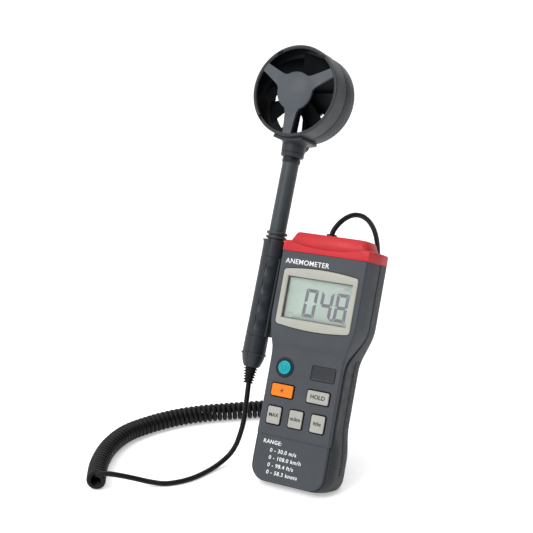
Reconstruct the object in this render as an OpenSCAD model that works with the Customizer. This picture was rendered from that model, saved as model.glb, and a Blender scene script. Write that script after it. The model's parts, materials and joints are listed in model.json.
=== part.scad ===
// Vane anemometer: a handheld meter leaning back on its tilt stand, a wand with a vane head
// held in a clip at the meter's left side, and the curly lead that joins them.
// Millimetres. X is to the right, +Z is up, and the display faces -Y. The origin is on the
// ground, at the middle of the case's heel.

/* [Case] */
// Width of the case across its top
top_w = 75; // [66:1:90]
// Width of the case at its waist
waist_w = 60; // [54:1:72]
// Width of the case at its foot
low_w = 66; // [57:1:79]
// Height of the two case shells, below the cap
body_h = 165.5; // [150:0.5:199]
// Depth of the case, front face to back
case_d = 33; // [31:0.5:40]
// Radius of the case's edges along its back
back_r = 9; // [7:0.5:10]
// Thickness of the case walls
wall = 2.2; // [1.8:0.1:2.8]
// Depth at which the front and rear shells meet beside the display
seam_top_y = 15.5; // [13:0.5:17]
// Depth at which the front and rear shells meet beside the keys
seam_low_y = 4.6; // [4.4:0.1:6]
// How far the face plate is set in from each side at the top
face_inset_top = 3.4; // [2.6:0.1:4]
// How far the face plate is set in from each side at the waist
face_inset_waist = 1.1; // [0.8:0.1:2]
// How far the face plate is set in from each side at the foot
face_inset_low = 3.6; // [2.6:0.1:4.4]
// How deep the face plate stands in front of the case's sides
face_step = 4; // [3.4:0.1:4.2]
// How much deeper the keys' part of the face lies than the display's
pad_y = 0.8; // [0.4:0.1:1]
// Radius of the case's lower corners
corner_r = 12; // [8:0.5:14]
// Height of the recessed lower panel
panel_h = 33.5; // [26:0.5:36]
// Angle at which the case leans back on its stand
lean = 20.8; // [16:0.1:24]
// Depth at which the case's bottom meets the ground
heel_y = 16; // [12:0.5:18]

/* [Cap] */
// Height of the cap's lower band
band_h = 8; // [6:0.5:11]
// Height of the cap's raised block
block_h = 7; // [5:0.5:9]
// How far the raised block is set in from each side of the case
block_inset = 5.5; // [5:0.5:10]
// How much each side of the raised block slopes in
block_slope = 3.7; // [2:0.1:5]
// Depth of the raised block, from its front to its back
block_d = 22; // [20:0.5:26]
// Place of the lead's gland across the cap
gland_x = -5; // [-12:0.5:12]
// Depth of the gland behind the front face
gland_y = 16; // [13:0.5:19]
// Radius of the gland's neck, which sits in the cap
gland_r = 3.2; // [2.8:0.1:3.8]

/* [Display] */
// Height of the display's frame
bezel_h = 44.2; // [38:0.2:48]
// Space from the frame to the edge of the face plate
bezel_margin = 4.4; // [3.5:0.1:6]
// Width of the frame at its sides
bezel_side = 3.9; // [3:0.1:5]
// Width of the frame at its top and bottom
bezel_rim = 7; // [5:0.1:8]
// Distance from the top of the case to the middle of the display
display_drop = 32.7; // [30:0.1:38]

/* [Keys] */
// How far each key travels
key_travel = 0.8; // [0.5:0.1:1]
// How far the keys stand out from the face
key_proud = 1.2; // [0.8:0.1:1.6]
// Gap between a key and its hole
key_gap = 0.3; // [0.2:0.05:0.4]
// Width of the two middle keys
wide_key_w = 17.2; // [14:0.2:18]
// Height of the two middle keys
wide_key_h = 8.8; // [7:0.2:10]
// Height of the middle keys' row above the case's bottom
wide_key_z = 66; // [63:0.5:69]
// Width of the three lower keys
small_key_w = 10.8; // [9:0.2:11.6]
// Height of the three lower keys
small_key_h = 12.4; // [10:0.2:14]
// Height of the lower keys' row above the case's bottom
small_key_z = 47.8; // [45:0.2:50]
// Radius of the power button
power_r = 4.9; // [4:0.1:5.4]
// Height of the power button above the case's bottom
power_z = 82.5; // [80:0.5:86]
// Width of the name plate
plate_w = 18.7; // [15:0.1:20]
// Height of the name plate
plate_h = 10.2; // [8:0.1:12]

/* [Stand and battery door] */
// Height of the stand's hinge above the case's bottom
hinge_z = 76; // [70:1:80]
// Opening angle of the stand
stand_open = 32; // [28:1:36]
// Width of the stand at its hinge
stand_w = 28; // [24:1:34]
// Width of the stand at its foot
foot_w = 18; // [14:1:24]
// Thickness of the stand
stand_t = 3.6; // [3:0.1:4]
// Radius of the stand's hinge pins
stand_pin_r = 1.5; // [1.2:0.1:1.7]
// Width of the battery door
door_w = 32; // [30:1:36]
// Height of the battery door
door_h = 58; // [56:1:60]
// Height of the battery door's hinge above the case's bottom
door_z = 93.5; // [91:0.5:96]
// Running clearance of the hinge pins, on the radius
pin_clear = 0.05; // [0.03:0.01:0.08]

/* [Wand] */
// Outer radius of the vane head
ring_r = 34.25; // [30:0.25:38]
// Depth of the vane head
ring_d = 32.4; // [28:0.4:36]
// Wall of the vane head
ring_wall = 2; // [1.6:0.1:2.6]
// Height of the vane head's middle above the top of the case
head_up = 117; // [112:1:130]
// Sideways gap between the case and the handle's line, at the vane head
wand_gap = 2.2; // [1.8:0.1:4]
// Depth of the wand's middle behind the front face
wand_y = 16.4; // [15:0.1:18]
// Lean of the wand, away from the case
wand_tilt = 0.9; // [0.4:0.1:1.2]
// Radius of the stem
stem_r = 6.25; // [5:0.05:7]
// Radius of the handle
handle_r = 8.6; // [7.6:0.1:9]
// Number of blades on the vane
blade_count = 8; // [6:1:10]
// Angle of each blade to the air stream
blade_angle = 28; // [20:1:40]
// Radius of the vane's shaft
shaft_r = 1; // [0.8:0.1:1.2]
// Gap between the handle and its clip
clip_gap = 0.3; // [0.25:0.05:0.5]
// Thickness of the clip
clip_t = 1.6; // [1.2:0.1:2]

/* [Lead] */
// Diameter of the lead
wire_d = 3.8; // [3.4:0.1:4.2]
// Outer diameter of the lead's curls
curl_d = 14.2; // [12:0.2:16]

/* [Hidden] */
$fn = 48;

// How far a cut runs past the face that it opens
over = 1;

// Where the leaning case stands
heel_back = (case_d - heel_y) * tan(lean);
case_z = heel_y * sin(lean);
case_y = -((heel_y + case_d) * cos(lean) + heel_back * sin(lean)) / 2;

// Outline of the case
shoulder_hi = body_h - 45;
shoulder_lo = body_h - 77;
hip_hi = 50;
hip_lo = 24;
face_low = 1;
pad_z = shoulder_lo + 11;
seam_low_z = shoulder_lo - 4;
seam_top_z = shoulder_hi - 5;

// Side grips
grip_front = 17;
grip_t = 0.7;
grip_low = 14;
grip_high = shoulder_lo + 7;

// Layers inside the case, by depth behind the front face
bezel_seat = 1.2;
bezel_proud = 0.6;
flange_y = pad_y + wall + 0.2;
flange_t = 0.8;
mat_front = flange_y + flange_t + key_travel + 0.1;
board_y = 8.5;
board_t = 1.6;
board_back = board_y + board_t;
board_lower = 30;
board_top = body_h - 13.5;
board_lower_w = waist_w - 12;
board_upper_w = top_w - 17;

// Display
display_z = body_h - display_drop;
bezel_w = top_w - 2 * face_inset_top - 2 * bezel_margin;
bezel_corner = 4;
window_w = bezel_w - 2 * bezel_side;
window_h = bezel_h - 2 * bezel_rim;
window_y = 0.9;
window_t = 0.8;
fit_gap = 0.15;
lcd_edge = 2;
lcd_y = wall + 1.4;
lcd_t = 2.2;
light_t = 2.4;
strip_h = 2.6;

// Keys
key_margin = 6;
face_half = waist_w / 2 - face_inset_waist;
wide_key_x = face_half - key_margin - wide_key_w / 2;
small_key_x = face_half - key_margin - small_key_w / 2;
power_x = 13.1 - face_half;
plate_x = face_half - 13.9;
panel_step = 1.2;
trim_seat = 1.2;
key_corner = 1.2;
flange_lip = 0.9;
ring_gap = 0.3;
ring_out = power_r + 2.3;

// Screws that hold the case together: [x, z]
boss_r = 3;
post_y = 14;
case_screw_r = 1.4;
case_screw_head_r = 2.6;
screw_spots = [
    [low_w / 2 - 9, 22], [-low_w / 2 + 9, 22],
    [top_w / 2 - 9, body_h - 8.5], [-top_w / 2 + 9, body_h - 8.5]
];
screw_head_y = case_d - 6;

// Stand
hinge_y = case_d - 2.6;
barrel_r = 2.4;
stand_in = 1.6;
hinge_up = case_z + hinge_z * cos(lean) - hinge_y * sin(lean);
stand_slope = stand_open - lean;
recess_gap = 0.4;
recess_y = hinge_y - barrel_r - recess_gap;
stand_reach = (hinge_up + (stand_t - stand_in) * sin(stand_slope)) / cos(stand_slope);
recess_low = hinge_z - stand_reach - recess_gap;
pin_len = 2.6;

// Battery and its door
door_t = wall;
door_axis_y = case_d - 1.7;
door_barrel_r = 1.5;
door_seat_r = 2.1;
door_pin_r = 1;
door_pin_len = 1.6;
door_gap = 0.3;
door_top = door_z + door_h;
bay_inner = 28.4;
bay_wall = 1.5;
bay_outer = door_w + 7;
bay_low = door_z + 2;
bay_high = door_top - 2;
bay_front = board_back + bay_wall + 0.3;
battery_size = [26.4, 17.4, 46.4];
battery_low = bay_low + 1;

// Cap
cap_z = body_h;
block_z = cap_z + band_h;
cap_top = block_z + block_h;
block_front = 2;
gland_collar_r = gland_r + 0.6;
gland_h = 2;

// Wand, measured up from the vane head's middle
head_x = -top_w / 2 - handle_r - wand_gap;
head_z = body_h + head_up;
ring_in = ring_r - ring_wall;
seam_y = ring_d / 2 - 14.6;
spider_t = 2.5;
disc_r = 14.3;
spoke_root = 5.4;
spoke_tip = 3.4;
boss_d = 4;
hub_boss_r = 4;
bearing_r = 2.5;
hub_r = 8;
blade_len = ring_in - hub_r - 3;
blade_root = 10;
blade_tip = 23;
blade_t = 1;
saddle_low = -ring_r - 3;
collar_low = saddle_low - 9.75;
neck_low = collar_low - 4.3;
handle_top = -110;
stem_low = handle_top - 6;
band_top = -122.6;
band_low = -181.4;
flange_z = -194.9;
bell_low = -204.9;
boot_low = -216.9;
handle_wall = 1.8;
handle_screw_r = 1.2;
handle_boss_r = 2.6;
handle_screw_z = [-130, -188];
clip_r = handle_r + clip_gap;
clip_front_angle = 27;

// Places of the gland and the wand's boot that the lead's routes are drawn for
gland_home = [-5, 55.71, 170.6];
boot_home = [-51.71, 14.59, 61.21];

// Centre line of the lead, from the gland over the cap and down to the curls
loop_route = [
    [-5, 55.6, 170.8], [-4.4, 57, 173.6], [-3, 59.2, 176.6], [-1, 62.2, 179.6], [1.4, 67, 182],
    [4, 73, 182.8], [6.6, 80, 181], [8.8, 86, 177], [10.2, 91, 171.6], [10.9, 95.2, 165],
    [11, 98.6, 157], [10.6, 101, 148], [9.6, 103, 138], [8, 104.6, 127], [6, 106, 116],
    [3.6, 107.2, 105], [1, 108.4, 94], [-2, 109.5, 83], [-5.4, 110.6, 72], [-9.2, 111.7, 61],
    [-13.4, 112.8, 50], [-18.2, 113.8, 39.6], [-23.8, 114.5, 29.8], [-30.6, 114.6, 21],
    [-38.6, 113.8, 14], [-47.4, 111.8, 9.4], [-56, 109, 7.4], [-64, 105.4, 7.1]
];
// Centre line of the curls, which lie on the ground
curl_route = [
    [-64, 105.4, 7.1], [-80, 97, 7.1], [-99, 81.5, 7.1], [-121, 61, 7.1], [-136, 41, 7.1],
    [-146, 18, 7.1], [-150.5, -5, 7.1], [-146, -32, 7.1], [-134, -60, 7.1], [-118, -85, 7.1]
];
// Centre line of the lead from the curls, over the ground and up to the wand
tail_route = [
    [-118, -85, 12.2], [-111, -80.4, 12.6], [-103.6, -73.6, 10], [-97, -66.6, 6.6],
    [-89, -60.6, 3.6], [-80, -55, 2], [-72.6, -47, 1.9], [-67.8, -37, 1.9], [-65.4, -26, 1.9],
    [-63.8, -16, 2.4], [-61.8, -7, 4.4], [-58.8, -0.4, 8.6], [-55.8, 3.4, 15],
    [-53.6, 5.8, 23], [-52, 7.8, 31.5], [-51.6, 10.2, 41], [-51.6, 12.6, 50], [-51.6, 15.2, 60.7]
];

// Shared shapes ------------------------------------------------------------------------------

// Stands a piece of the case, drawn upright, where it leans on its stand
module leaned() {
    translate([0, case_y, case_z]) rotate([-lean, 0, 0]) children();
}

// Places a piece of the wand, drawn about the vane head's middle
module on_wand() {
    leaned() translate([head_x, wand_y, head_z]) rotate([0, wand_tilt, 0]) children();
}

// Gives an outline drawn in X and Z its depth, from y0 back to y1
module slab(y0, y1) {
    translate([0, y1, 0]) rotate([90, 0, 0]) linear_extrude(y1 - y0) children();
}

// Box given by its low and high corners
module block(low, high) {
    translate(low) cube(high - low);
}

// Rounded rectangle about a point
module round_rect(w, h, r) {
    hull_w = w - 2 * r;
    hull_h = h - 2 * r;
    square([w, hull_h], center = true);
    square([hull_w, h], center = true);
    for (sx = [-1, 1], sz = [-1, 1])
        translate([sx * hull_w / 2, sz * hull_h / 2]) circle(r, $fn = 24);
}

// Pin along X, centred on its place
module cross_pin(at, r, length) {
    translate(at) rotate([0, 90, 0]) cylinder(r = r, h = length, center = true);
}

function ease(t) = (1 - cos(180 * t)) / 2;
function mix(a, b, t) = a + (b - a) * t;

// Where a point of the leaning case, or of the wand, stands
function stood(p) = [p[0], p[1] * cos(lean) + p[2] * sin(lean) + case_y,
    p[2] * cos(lean) - p[1] * sin(lean) + case_z];
function wand_point(z) = stood([head_x + z * sin(wand_tilt), wand_y, head_z + z * cos(wand_tilt)]);

// A route whose start, or end, goes along with what it is held by
function start_moved(route, by, held) = [for (i = [0 : len(route) - 1])
    route[i] + by * (i <= held ? 1 : (len(route) - 1 - i) / (len(route) - 1 - held))];
function end_moved(route, by, held) = [for (i = [0 : len(route) - 1])
    let (from_end = len(route) - 1 - i)
    route[i] + by * (from_end <= held ? 1 : max(0, 1 - (from_end - held) / 5))];

// Outline with its own half-widths at the top, waist and foot: straight stretches and smooth bends
module outline(top, waist, low, bottom, roof) {
    r = max(corner_r - bottom, 3);
    corner = [for (a = [-90 : 15 : 0]) [low - r + r * cos(a), bottom + r + r * sin(a)]];
    hip = [for (t = [0 : 0.2 : 1]) [mix(low, waist, ease(t)), mix(hip_lo, hip_hi, t)]];
    shoulder = [for (t = [0 : 0.125 : 1])
        [mix(waist, top, ease(t)), mix(shoulder_lo, shoulder_hi, t)]];
    right = concat(corner, hip, shoulder, [[top, roof]]);
    left = [for (i = [len(right) - 1 : -1 : 0]) [-right[i][0], right[i][1]]];
    polygon(concat(right, left));
}

// Front outline of the case, set in by an amount all round
module case_outline(inset, roof = body_h) {
    outline(top_w / 2 - inset, waist_w / 2 - inset, low_w / 2 - inset, inset, roof);
}

// Outline of the face plate, set in by an amount all round
module face_outline(inset, roof = body_h) {
    outline(top_w / 2 - face_inset_top - inset, waist_w / 2 - face_inset_waist - inset,
        low_w / 2 - face_inset_low - inset, face_low + inset, roof);
}

// Tube swept along a route, one ring to each point
function unit(v) = v / norm(v);
function heading(p, i) = unit(p[min(i + 1, len(p) - 1)] - p[max(i - 1, 0)]);
function side_of(d) = unit(cross(d, abs(d[2]) > 0.9 ? [1, 0, 0] : [0, 0, 1]));
function carried(last, d) = unit(last - (last * d) * d);
function frames(p, i = 0, last = undef) =
    i == len(p) ? [] :
    let (d = heading(p, i), s = is_undef(last) ? side_of(d) : carried(last, d))
    concat([[s, cross(d, s)]], frames(p, i + 1, s));
module tube(route, r, sides) {
    axes = frames(route);
    count = len(route);
    points = [for (i = [0 : count - 1], k = [0 : sides - 1])
        let (a = 360 * k / sides)
        route[i] + r * cos(a) * axes[i][0] + r * sin(a) * axes[i][1]];
    skin = [for (i = [0 : count - 2], k = [0 : sides - 1])
        let (n = (k + 1) % sides)
        [i * sides + n, i * sides + k, (i + 1) * sides + k, (i + 1) * sides + n]];
    first = [for (k = [0 : sides - 1]) k];
    last = [for (k = [sides - 1 : -1 : 0]) (count - 1) * sides + k];
    polyhedron(points, concat(skin, [first], [last]));
}

// Case ---------------------------------------------------------------------------------------

module key_hole(x, z, w, h) {
    slab(-over, pad_y + wall + over) translate([x, z])
        round_rect(w + 2 * key_gap, h + 2 * key_gap, key_corner + key_gap);
}

// Back of the case, or of the room inside it, with its edges rounded in steps
module rounded_back(inset) {
    r = back_r - inset;
    y = case_d - back_r;
    for (a = [0 : 22.5 : 67.5])
        slab(y + r * sin(a) - over, y + r * sin(a + 22.5))
            case_outline(back_r - r * cos(a + 11.25), body_h - inset);
}

// Outside of the two shells together
module case_shape() {
    slab(0, face_step + over) face_outline(0);
    slab(face_step, case_d - back_r) case_outline(0);
    rounded_back(0);
}

// Room inside the two shells
module case_room() {
    slab(pad_y + wall, face_step + wall + over) face_outline(wall, body_h - wall);
    intersection() {
        slab(wall, case_d) face_outline(wall, body_h - wall);
        block([-top_w, 0, pad_z + wall], [top_w, face_step + wall, body_h]);
    }
    slab(face_step + wall, case_d - back_r) case_outline(wall, body_h - wall);
    rounded_back(wall);
}

// Everything in front of the line where the shells meet
module front_side() {
    bend = [for (t = [0 : 0.125 : 1])
        [mix(seam_low_y, seam_top_y, ease(t)), mix(seam_low_z, seam_top_z, t)]];
    translate([-top_w, 0, 0]) rotate([90, 0, 90]) linear_extrude(2 * top_w)
        polygon(concat([[-9, -9], [seam_low_y, -9]], bend,
            [[seam_top_y, body_h + 9], [-9, body_h + 9]]));
}

module front_case() {
    color("#4d5258") leaned() difference() {
        union() {
            difference() {
                intersection() {
                    case_shape();
                    front_side();
                }
                case_room();
            }
            for (s = screw_spots) slab(wall, post_y) translate(s) circle(boss_r);
        }
        for (s = screw_spots)
            slab(pad_y + wall, post_y + over) translate(s) circle(case_screw_r);
        block([-top_w, -over, -over], [top_w, pad_y, pad_z]);
        block([-top_w, -over, -over], [top_w, pad_y + panel_step, panel_h]);
        slab(-over, bezel_seat) translate([0, display_z])
            round_rect(bezel_w + 2 * fit_gap, bezel_h + 2 * fit_gap, bezel_corner + fit_gap);
        slab(-over, wall + over) translate([0, display_z]) square([window_w, window_h], center = true);
        for (side = [-1, 1]) key_hole(side * wide_key_x, wide_key_z, wide_key_w, wide_key_h);
        for (col = [-1 : 1]) key_hole(col * small_key_x, small_key_z, small_key_w, small_key_h);
        slab(-over, pad_y + wall + over) translate([power_x, power_z]) circle(power_r + key_gap);
        slab(-over, pad_y + trim_seat) translate([power_x, power_z]) circle(ring_out + fit_gap);
        slab(-over, pad_y + trim_seat - 0.4) translate([plate_x, power_z])
            round_rect(plate_w + 2 * fit_gap, plate_h + 2 * fit_gap, key_corner);
    }
}

// Solid parts of the rear shell that its pockets and screws are cut in
module rear_blocks() {
    recess_side = stand_w / 2 + recess_gap + 3.2;
    block([-recess_side, recess_y - wall, 0],
        [recess_side, case_d, hinge_z + barrel_r + recess_gap + wall]);
    block([-bay_outer / 2, bay_front - bay_wall, bay_low - 7],
        [bay_outer / 2, case_d, bay_high + 5]);
    for (s = screw_spots) slab(post_y, case_d) translate(s) circle(boss_r + 0.4);
    translate([-low_w / 2, heel_y, 0]) rotate([90, 0, 90]) linear_extrude(low_w)
        polygon([[-3, 0], [case_d - heel_y, 0], [case_d - heel_y, heel_back + wall + 1.4],
            [0, wall + 1.4], [-3, wall + 0.4]]);
}

module rear_case() {
    recess_half = stand_w / 2 + recess_gap;
    door_half = door_w / 2 + door_gap;
    color("#43474d") leaned() difference() {
        union() {
            difference() {
                case_shape();
                front_side();
                case_room();
            }
            intersection() {
                case_shape();
                rear_blocks();
            }
        }
        // Heel facet that rests on the ground
        translate([-low_w, heel_y, 0]) rotate([90, 0, 90]) linear_extrude(2 * low_w)
            polygon([[0, 0], [case_d - heel_y + over, (case_d - heel_y + over) * tan(lean)],
                [case_d - heel_y + over, -over], [0, -over]]);
        // Pocket that the stand folds into
        block([-recess_half, recess_y, recess_low],
            [recess_half, case_d + over, hinge_z + barrel_r + recess_gap]);
        cross_pin([0, hinge_y, hinge_z], stand_pin_r + pin_clear, 2 * (recess_half + pin_len));
        // Battery bay, its door's seat and the door's pins
        block([-bay_inner / 2, bay_front, bay_low], [bay_inner / 2, case_d + over, bay_high]);
        block([-door_half, case_d - door_t - door_gap, door_z],
            [door_half, case_d + over, door_top + door_gap]);
        cross_pin([0, door_axis_y, door_z], door_seat_r, 2 * door_half);
        cross_pin([0, door_axis_y, door_z], door_pin_r + pin_clear,
            2 * (door_half + door_pin_len));
        block([-door_half, door_axis_y, door_z - door_seat_r], [door_half, case_d + over, door_z + over]);
        for (s = screw_spots) {
            slab(post_y - over, case_d + over) translate(s) circle(case_screw_r + 0.3);
            slab(screw_head_y, case_d + over) translate(s) circle(case_screw_head_r + 0.2);
            slab(-over, post_y) translate(s) circle(boss_r + fit_gap);
        }
    }
}

module top_cap() {
    half = top_w / 2;
    room = half - face_inset_top - wall;
    right = concat([[half - face_inset_top, 0], [half, face_step + 2]], [for (a = [0 : 22.5 : 90])
        [half - back_r * (1 - cos(a)), case_d - back_r * (1 - sin(a))]]);
    left = [for (i = [len(right) - 1 : -1 : 0]) [-right[i][0], right[i][1]]];
    color("#d2232f") leaned() difference() {
        union() {
            translate([0, 0, cap_z]) linear_extrude(band_h) polygon(concat(right, left));
            slab(block_front, block_front + block_d) polygon([
                [-half + block_inset, block_z - over], [half - block_inset, block_z - over],
                [half - block_inset - block_slope, cap_top],
                [-half + block_inset + block_slope, cap_top]]);
        }
        block([-room, wall, cap_z - over], [room, case_d - wall - 2, block_z - wall]);
        slab(block_front + wall, block_front + block_d - wall) polygon([
            [-half + block_inset + wall, cap_z], [half - block_inset - wall, cap_z],
            [half - block_inset - wall - block_slope, cap_top - wall],
            [-half + block_inset + wall + block_slope, cap_top - wall]]);
        translate([gland_x, gland_y, cap_z]) cylinder(r = gland_r, h = 2 * cap_top);
    }
}

module cable_gland() {
    color("#26282b") leaned() translate([gland_x, gland_y, 0]) difference() {
        union() {
            translate([0, 0, cap_z + 1]) cylinder(r = gland_r, h = cap_top - cap_z);
            translate([0, 0, cap_top]) cylinder(r = gland_collar_r, h = gland_h);
        }
        translate([0, 0, cap_z]) cylinder(r = wire_d / 2, h = 6);
    }
}

module case_screws() {
    color("silver") leaned() for (s = screw_spots) {
        slab(pad_y + wall + over, screw_head_y + 0.1) translate(s) circle(case_screw_r, $fn = 24);
        slab(screw_head_y, screw_head_y + 2) translate(s) circle(case_screw_head_r, $fn = 24);
    }
}

module side_grips() {
    color("#2c2f33") leaned() intersection() {
        slab(grip_front, case_d - back_r) difference() {
            case_outline(-grip_t);
            case_outline(0);
        }
        union() for (side = [-1, 1])
            translate([side * low_w / 2, case_d / 2, (grip_low + grip_high) / 2])
                cube([20, case_d, grip_high - grip_low], center = true);
    }
}

// Saddle behind the handle, joined to the case's left side
module probe_clip() {
    reach = 2 * clip_r;
    color("#3b3f44") difference() {
        union() {
            on_wand() translate([0, 0, band_low + 0.4]) linear_extrude(band_top - band_low - 0.8)
                intersection() {
                    difference() {
                        circle(clip_r + clip_t);
                        circle(clip_r);
                    }
                    polygon([[0, 0], [reach * cos(clip_front_angle), -reach * sin(clip_front_angle)],
                        [reach, 0], [reach, reach], [0, reach]]);
                }
            leaned() difference() {
                block([-top_w / 2 - 7, wand_y - 1, body_h - 64], [-waist_w / 2, wand_y + 4, body_h - 7]);
                slab(0, case_d) case_outline(0);
            }
        }
        on_wand() translate([0, 0, -2 * head_up]) cylinder(r = clip_r, h = 2 * head_up);
    }
}

// Display ------------------------------------------------------------------------------------

module lcd_bezel() {
    color("#e2dccb") leaned() translate([0, 0, display_z]) slab(-bezel_proud, bezel_seat) difference() {
        round_rect(bezel_w, bezel_h, bezel_corner);
        square([window_w, window_h], center = true);
    }
}

module lcd_window() {
    color("#cfe0dc", 0.4) leaned() translate([0, 0, display_z]) slab(window_y, window_y + window_t)
        square([window_w - 2 * fit_gap, window_h - 2 * fit_gap], center = true);
}

module lcd_panel() {
    color("#b9c9bf") leaned() translate([0, 0, display_z]) slab(lcd_y, lcd_y + lcd_t)
        square([window_w + 2 * lcd_edge, window_h + 2 * lcd_edge + 2 * strip_h], center = true);
}

module lcd_backlight() {
    color("#e8efe6") leaned() translate([0, 0, display_z])
        slab(lcd_y + lcd_t, lcd_y + lcd_t + light_t)
            square([window_w, window_h + 2 * lcd_edge], center = true);
}

module lcd_connectors() {
    color("#8a5a86") leaned() for (side = [-1, 1])
        translate([0, 0, display_z + side * (window_h / 2 + lcd_edge + strip_h / 2)])
            slab(lcd_y + lcd_t, board_y) square([window_w - 4, strip_h - 0.6], center = true);
}

// Electronics --------------------------------------------------------------------------------

module main_board() {
    color("#1f6b45") leaned() slab(board_y, board_back) {
        translate([-board_lower_w / 2, board_lower]) square([board_lower_w, board_top - board_lower]);
        translate([-board_upper_w / 2, shoulder_hi - 4])
            square([board_upper_w, board_top - shoulder_hi + 4]);
    }
}

module board_chips() {
    chips = [[0, 62, 14, 14], [-14, 44, 8, 6], [13, 46, 6, 9], [12, 80, 9, 7]];
    color("#202224") leaned() for (c = chips)
        slab(board_back, board_back + 1) translate([c[0], c[1]]) square([c[2], c[3]], center = true);
}

module keypad_mat() {
    color("#c9c7bd") leaned() {
        slab(board_y - 1.2, board_y) translate([0, mix(small_key_z, power_z, 0.5)])
            square([2 * (face_half - wall - 0.7), power_z - small_key_z + 16], center = true);
        slab(mat_front, board_y) {
            for (side = [-1, 1]) translate([side * wide_key_x, wide_key_z]) circle(2.6, $fn = 24);
            for (col = [-1 : 1]) translate([col * small_key_x, small_key_z]) circle(2.6, $fn = 24);
            translate([power_x, power_z]) circle(2.6, $fn = 24);
        }
    }
}

module button_ring() {
    color("#17191b") leaned() translate([power_x, pad_y, power_z]) slab(-0.3, trim_seat) difference() {
        circle(ring_out);
        circle(power_r + ring_gap);
    }
}

module name_plate() {
    color("#35393e") leaned() translate([plate_x, pad_y, power_z]) slab(-0.2, trim_seat - 0.4)
        round_rect(plate_w, plate_h, key_corner);
}

module battery() {
    color("#2f3a44") leaned() translate([0, bay_front + 0.3 + battery_size[1] / 2, battery_low])
        linear_extrude(battery_size[2]) square([battery_size[0], battery_size[1]], center = true);
}

module battery_snap() {
    snap_low = battery_low + battery_size[2];
    color("#1d1e20") leaned() translate([0, bay_front + 0.3 + battery_size[1] / 2, snap_low])
        linear_extrude(4) round_rect(24, 12, 3);
}

// Keys ---------------------------------------------------------------------------------------

module key(x, z, w, h, tint) {
    color(tint) leaned() translate([x, 0, z]) {
        slab(pad_y - key_proud, flange_y + flange_t) round_rect(w, h, key_corner);
        slab(flange_y, flange_y + flange_t)
            round_rect(w + 2 * flange_lip, h + 2 * flange_lip, key_corner);
    }
}
module power_button() {
    color("#1fb5bd") leaned() translate([power_x, 0, power_z]) {
        slab(pad_y - key_proud, flange_y + flange_t) circle(power_r);
        slab(flange_y, flange_y + flange_t) circle(power_r + flange_lip);
    }
}
module light_key() key(-wide_key_x, wide_key_z, wide_key_w, wide_key_h, "#f2902a");
module hold_key() key(wide_key_x, wide_key_z, wide_key_w, wide_key_h, "#c9c7bd");
module mode_key() key(-small_key_x, small_key_z, small_key_w, small_key_h, "#c9c7bd");
module metric_key() key(0, small_key_z, small_key_w, small_key_h, "#c9c7bd");
module imperial_key() key(small_key_x, small_key_z, small_key_w, small_key_h, "#c9c7bd");

// Stand and battery door ---------------------------------------------------------------------

module tilt_stand() {
    front_len = (hinge_up - stand_in * sin(stand_slope)) / cos(stand_slope);
    color("#43474d") leaned() translate([0, hinge_y, hinge_z]) rotate([stand_open, 0, 0]) {
        intersection() {
            rotate([90, 0, 90]) translate([0, 0, -stand_w / 2]) linear_extrude(stand_w)
                polygon([[-stand_in, 0], [stand_t - stand_in, 0],
                    [stand_t - stand_in, -stand_reach], [-stand_in, -front_len]]);
            slab(-stand_t, stand_t) polygon([[-stand_w / 2, 0], [stand_w / 2, 0],
                [stand_w / 2, -14], [foot_w / 2, -30], [foot_w / 2, -stand_reach],
                [-foot_w / 2, -stand_reach], [-foot_w / 2, -30], [-stand_w / 2, -14]]);
        }
        cross_pin([0, 0, 0], barrel_r, stand_w);
        cross_pin([0, 0, 0], stand_pin_r, stand_w + 2 * pin_len);
    }
}

module battery_door() {
    color("#43474d") leaned() {
        block([-door_w / 2, case_d - door_t, door_z], [door_w / 2, case_d, door_top]);
        cross_pin([0, door_axis_y, door_z], door_barrel_r, door_w);
        cross_pin([0, door_axis_y, door_z], door_pin_r, door_w + 2 * door_pin_len);
    }
}

// Vane head ----------------------------------------------------------------------------------

module barrel(y0, y1, outer, inner) {
    slab(y0, y1) difference() {
        circle(outer, $fn = 96);
        circle(inner, $fn = 96);
    }
}

module head_ring_front() {
    color("#3f4347") on_wand() {
        barrel(-ring_d / 2, seam_y, ring_r, ring_in);
        barrel(-ring_d / 2 - 0.01, -ring_d / 2 + 1.4, ring_r - 0.4, ring_in - 0.6);
    }
}

module head_ring_rear() {
    color("#3f4347") on_wand() barrel(seam_y, ring_d / 2, ring_r - 0.5, ring_in);
}

// Disc and three spokes, with a boss that holds a bearing. dir is 1 at the front, -1 at the back
module spider(dir) {
    outer_y = -dir * ring_d / 2;
    plate_in = outer_y + dir * spider_t;
    boss_in = plate_in + dir * boss_d;
    difference() {
        union() {
            slab(min(outer_y, plate_in) + (dir > 0 ? 1.4 : 0), max(outer_y, plate_in))
                intersection() {
                    circle(ring_in, $fn = 96);
                    for (turn = [0, 120, 240]) rotate(turn)
                        polygon([[-spoke_root, 0], [spoke_root, 0],
                            [spoke_tip, -ring_r], [-spoke_tip, -ring_r]]);
                }
            slab(min(outer_y, plate_in), max(outer_y, plate_in)) circle(disc_r);
            slab(min(outer_y, boss_in), max(outer_y, boss_in)) circle(hub_boss_r);
        }
        slab(min(boss_in - dir * 3, boss_in + dir), max(boss_in - dir * 3, boss_in + dir))
            circle(bearing_r);
    }
}
module front_spider() color("#4a4e53") on_wand() spider(1);
module rear_spider() color("#4a4e53") on_wand() spider(-1);

module bearing(dir) {
    face_in = -dir * (ring_d / 2 - spider_t - boss_d);
    slab(min(face_in, face_in - dir * 3), max(face_in, face_in - dir * 3)) difference() {
        circle(bearing_r);
        circle(shaft_r + pin_clear);
    }
}
module front_bearing() color("silver") on_wand() bearing(1);
module rear_bearing() color("silver") on_wand() bearing(-1);

module rotor_hub() {
    color("#2a2c2f") on_wand() slab(-7, 6) difference() {
        circle(hub_r);
        circle(shaft_r);
    }
}

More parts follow.
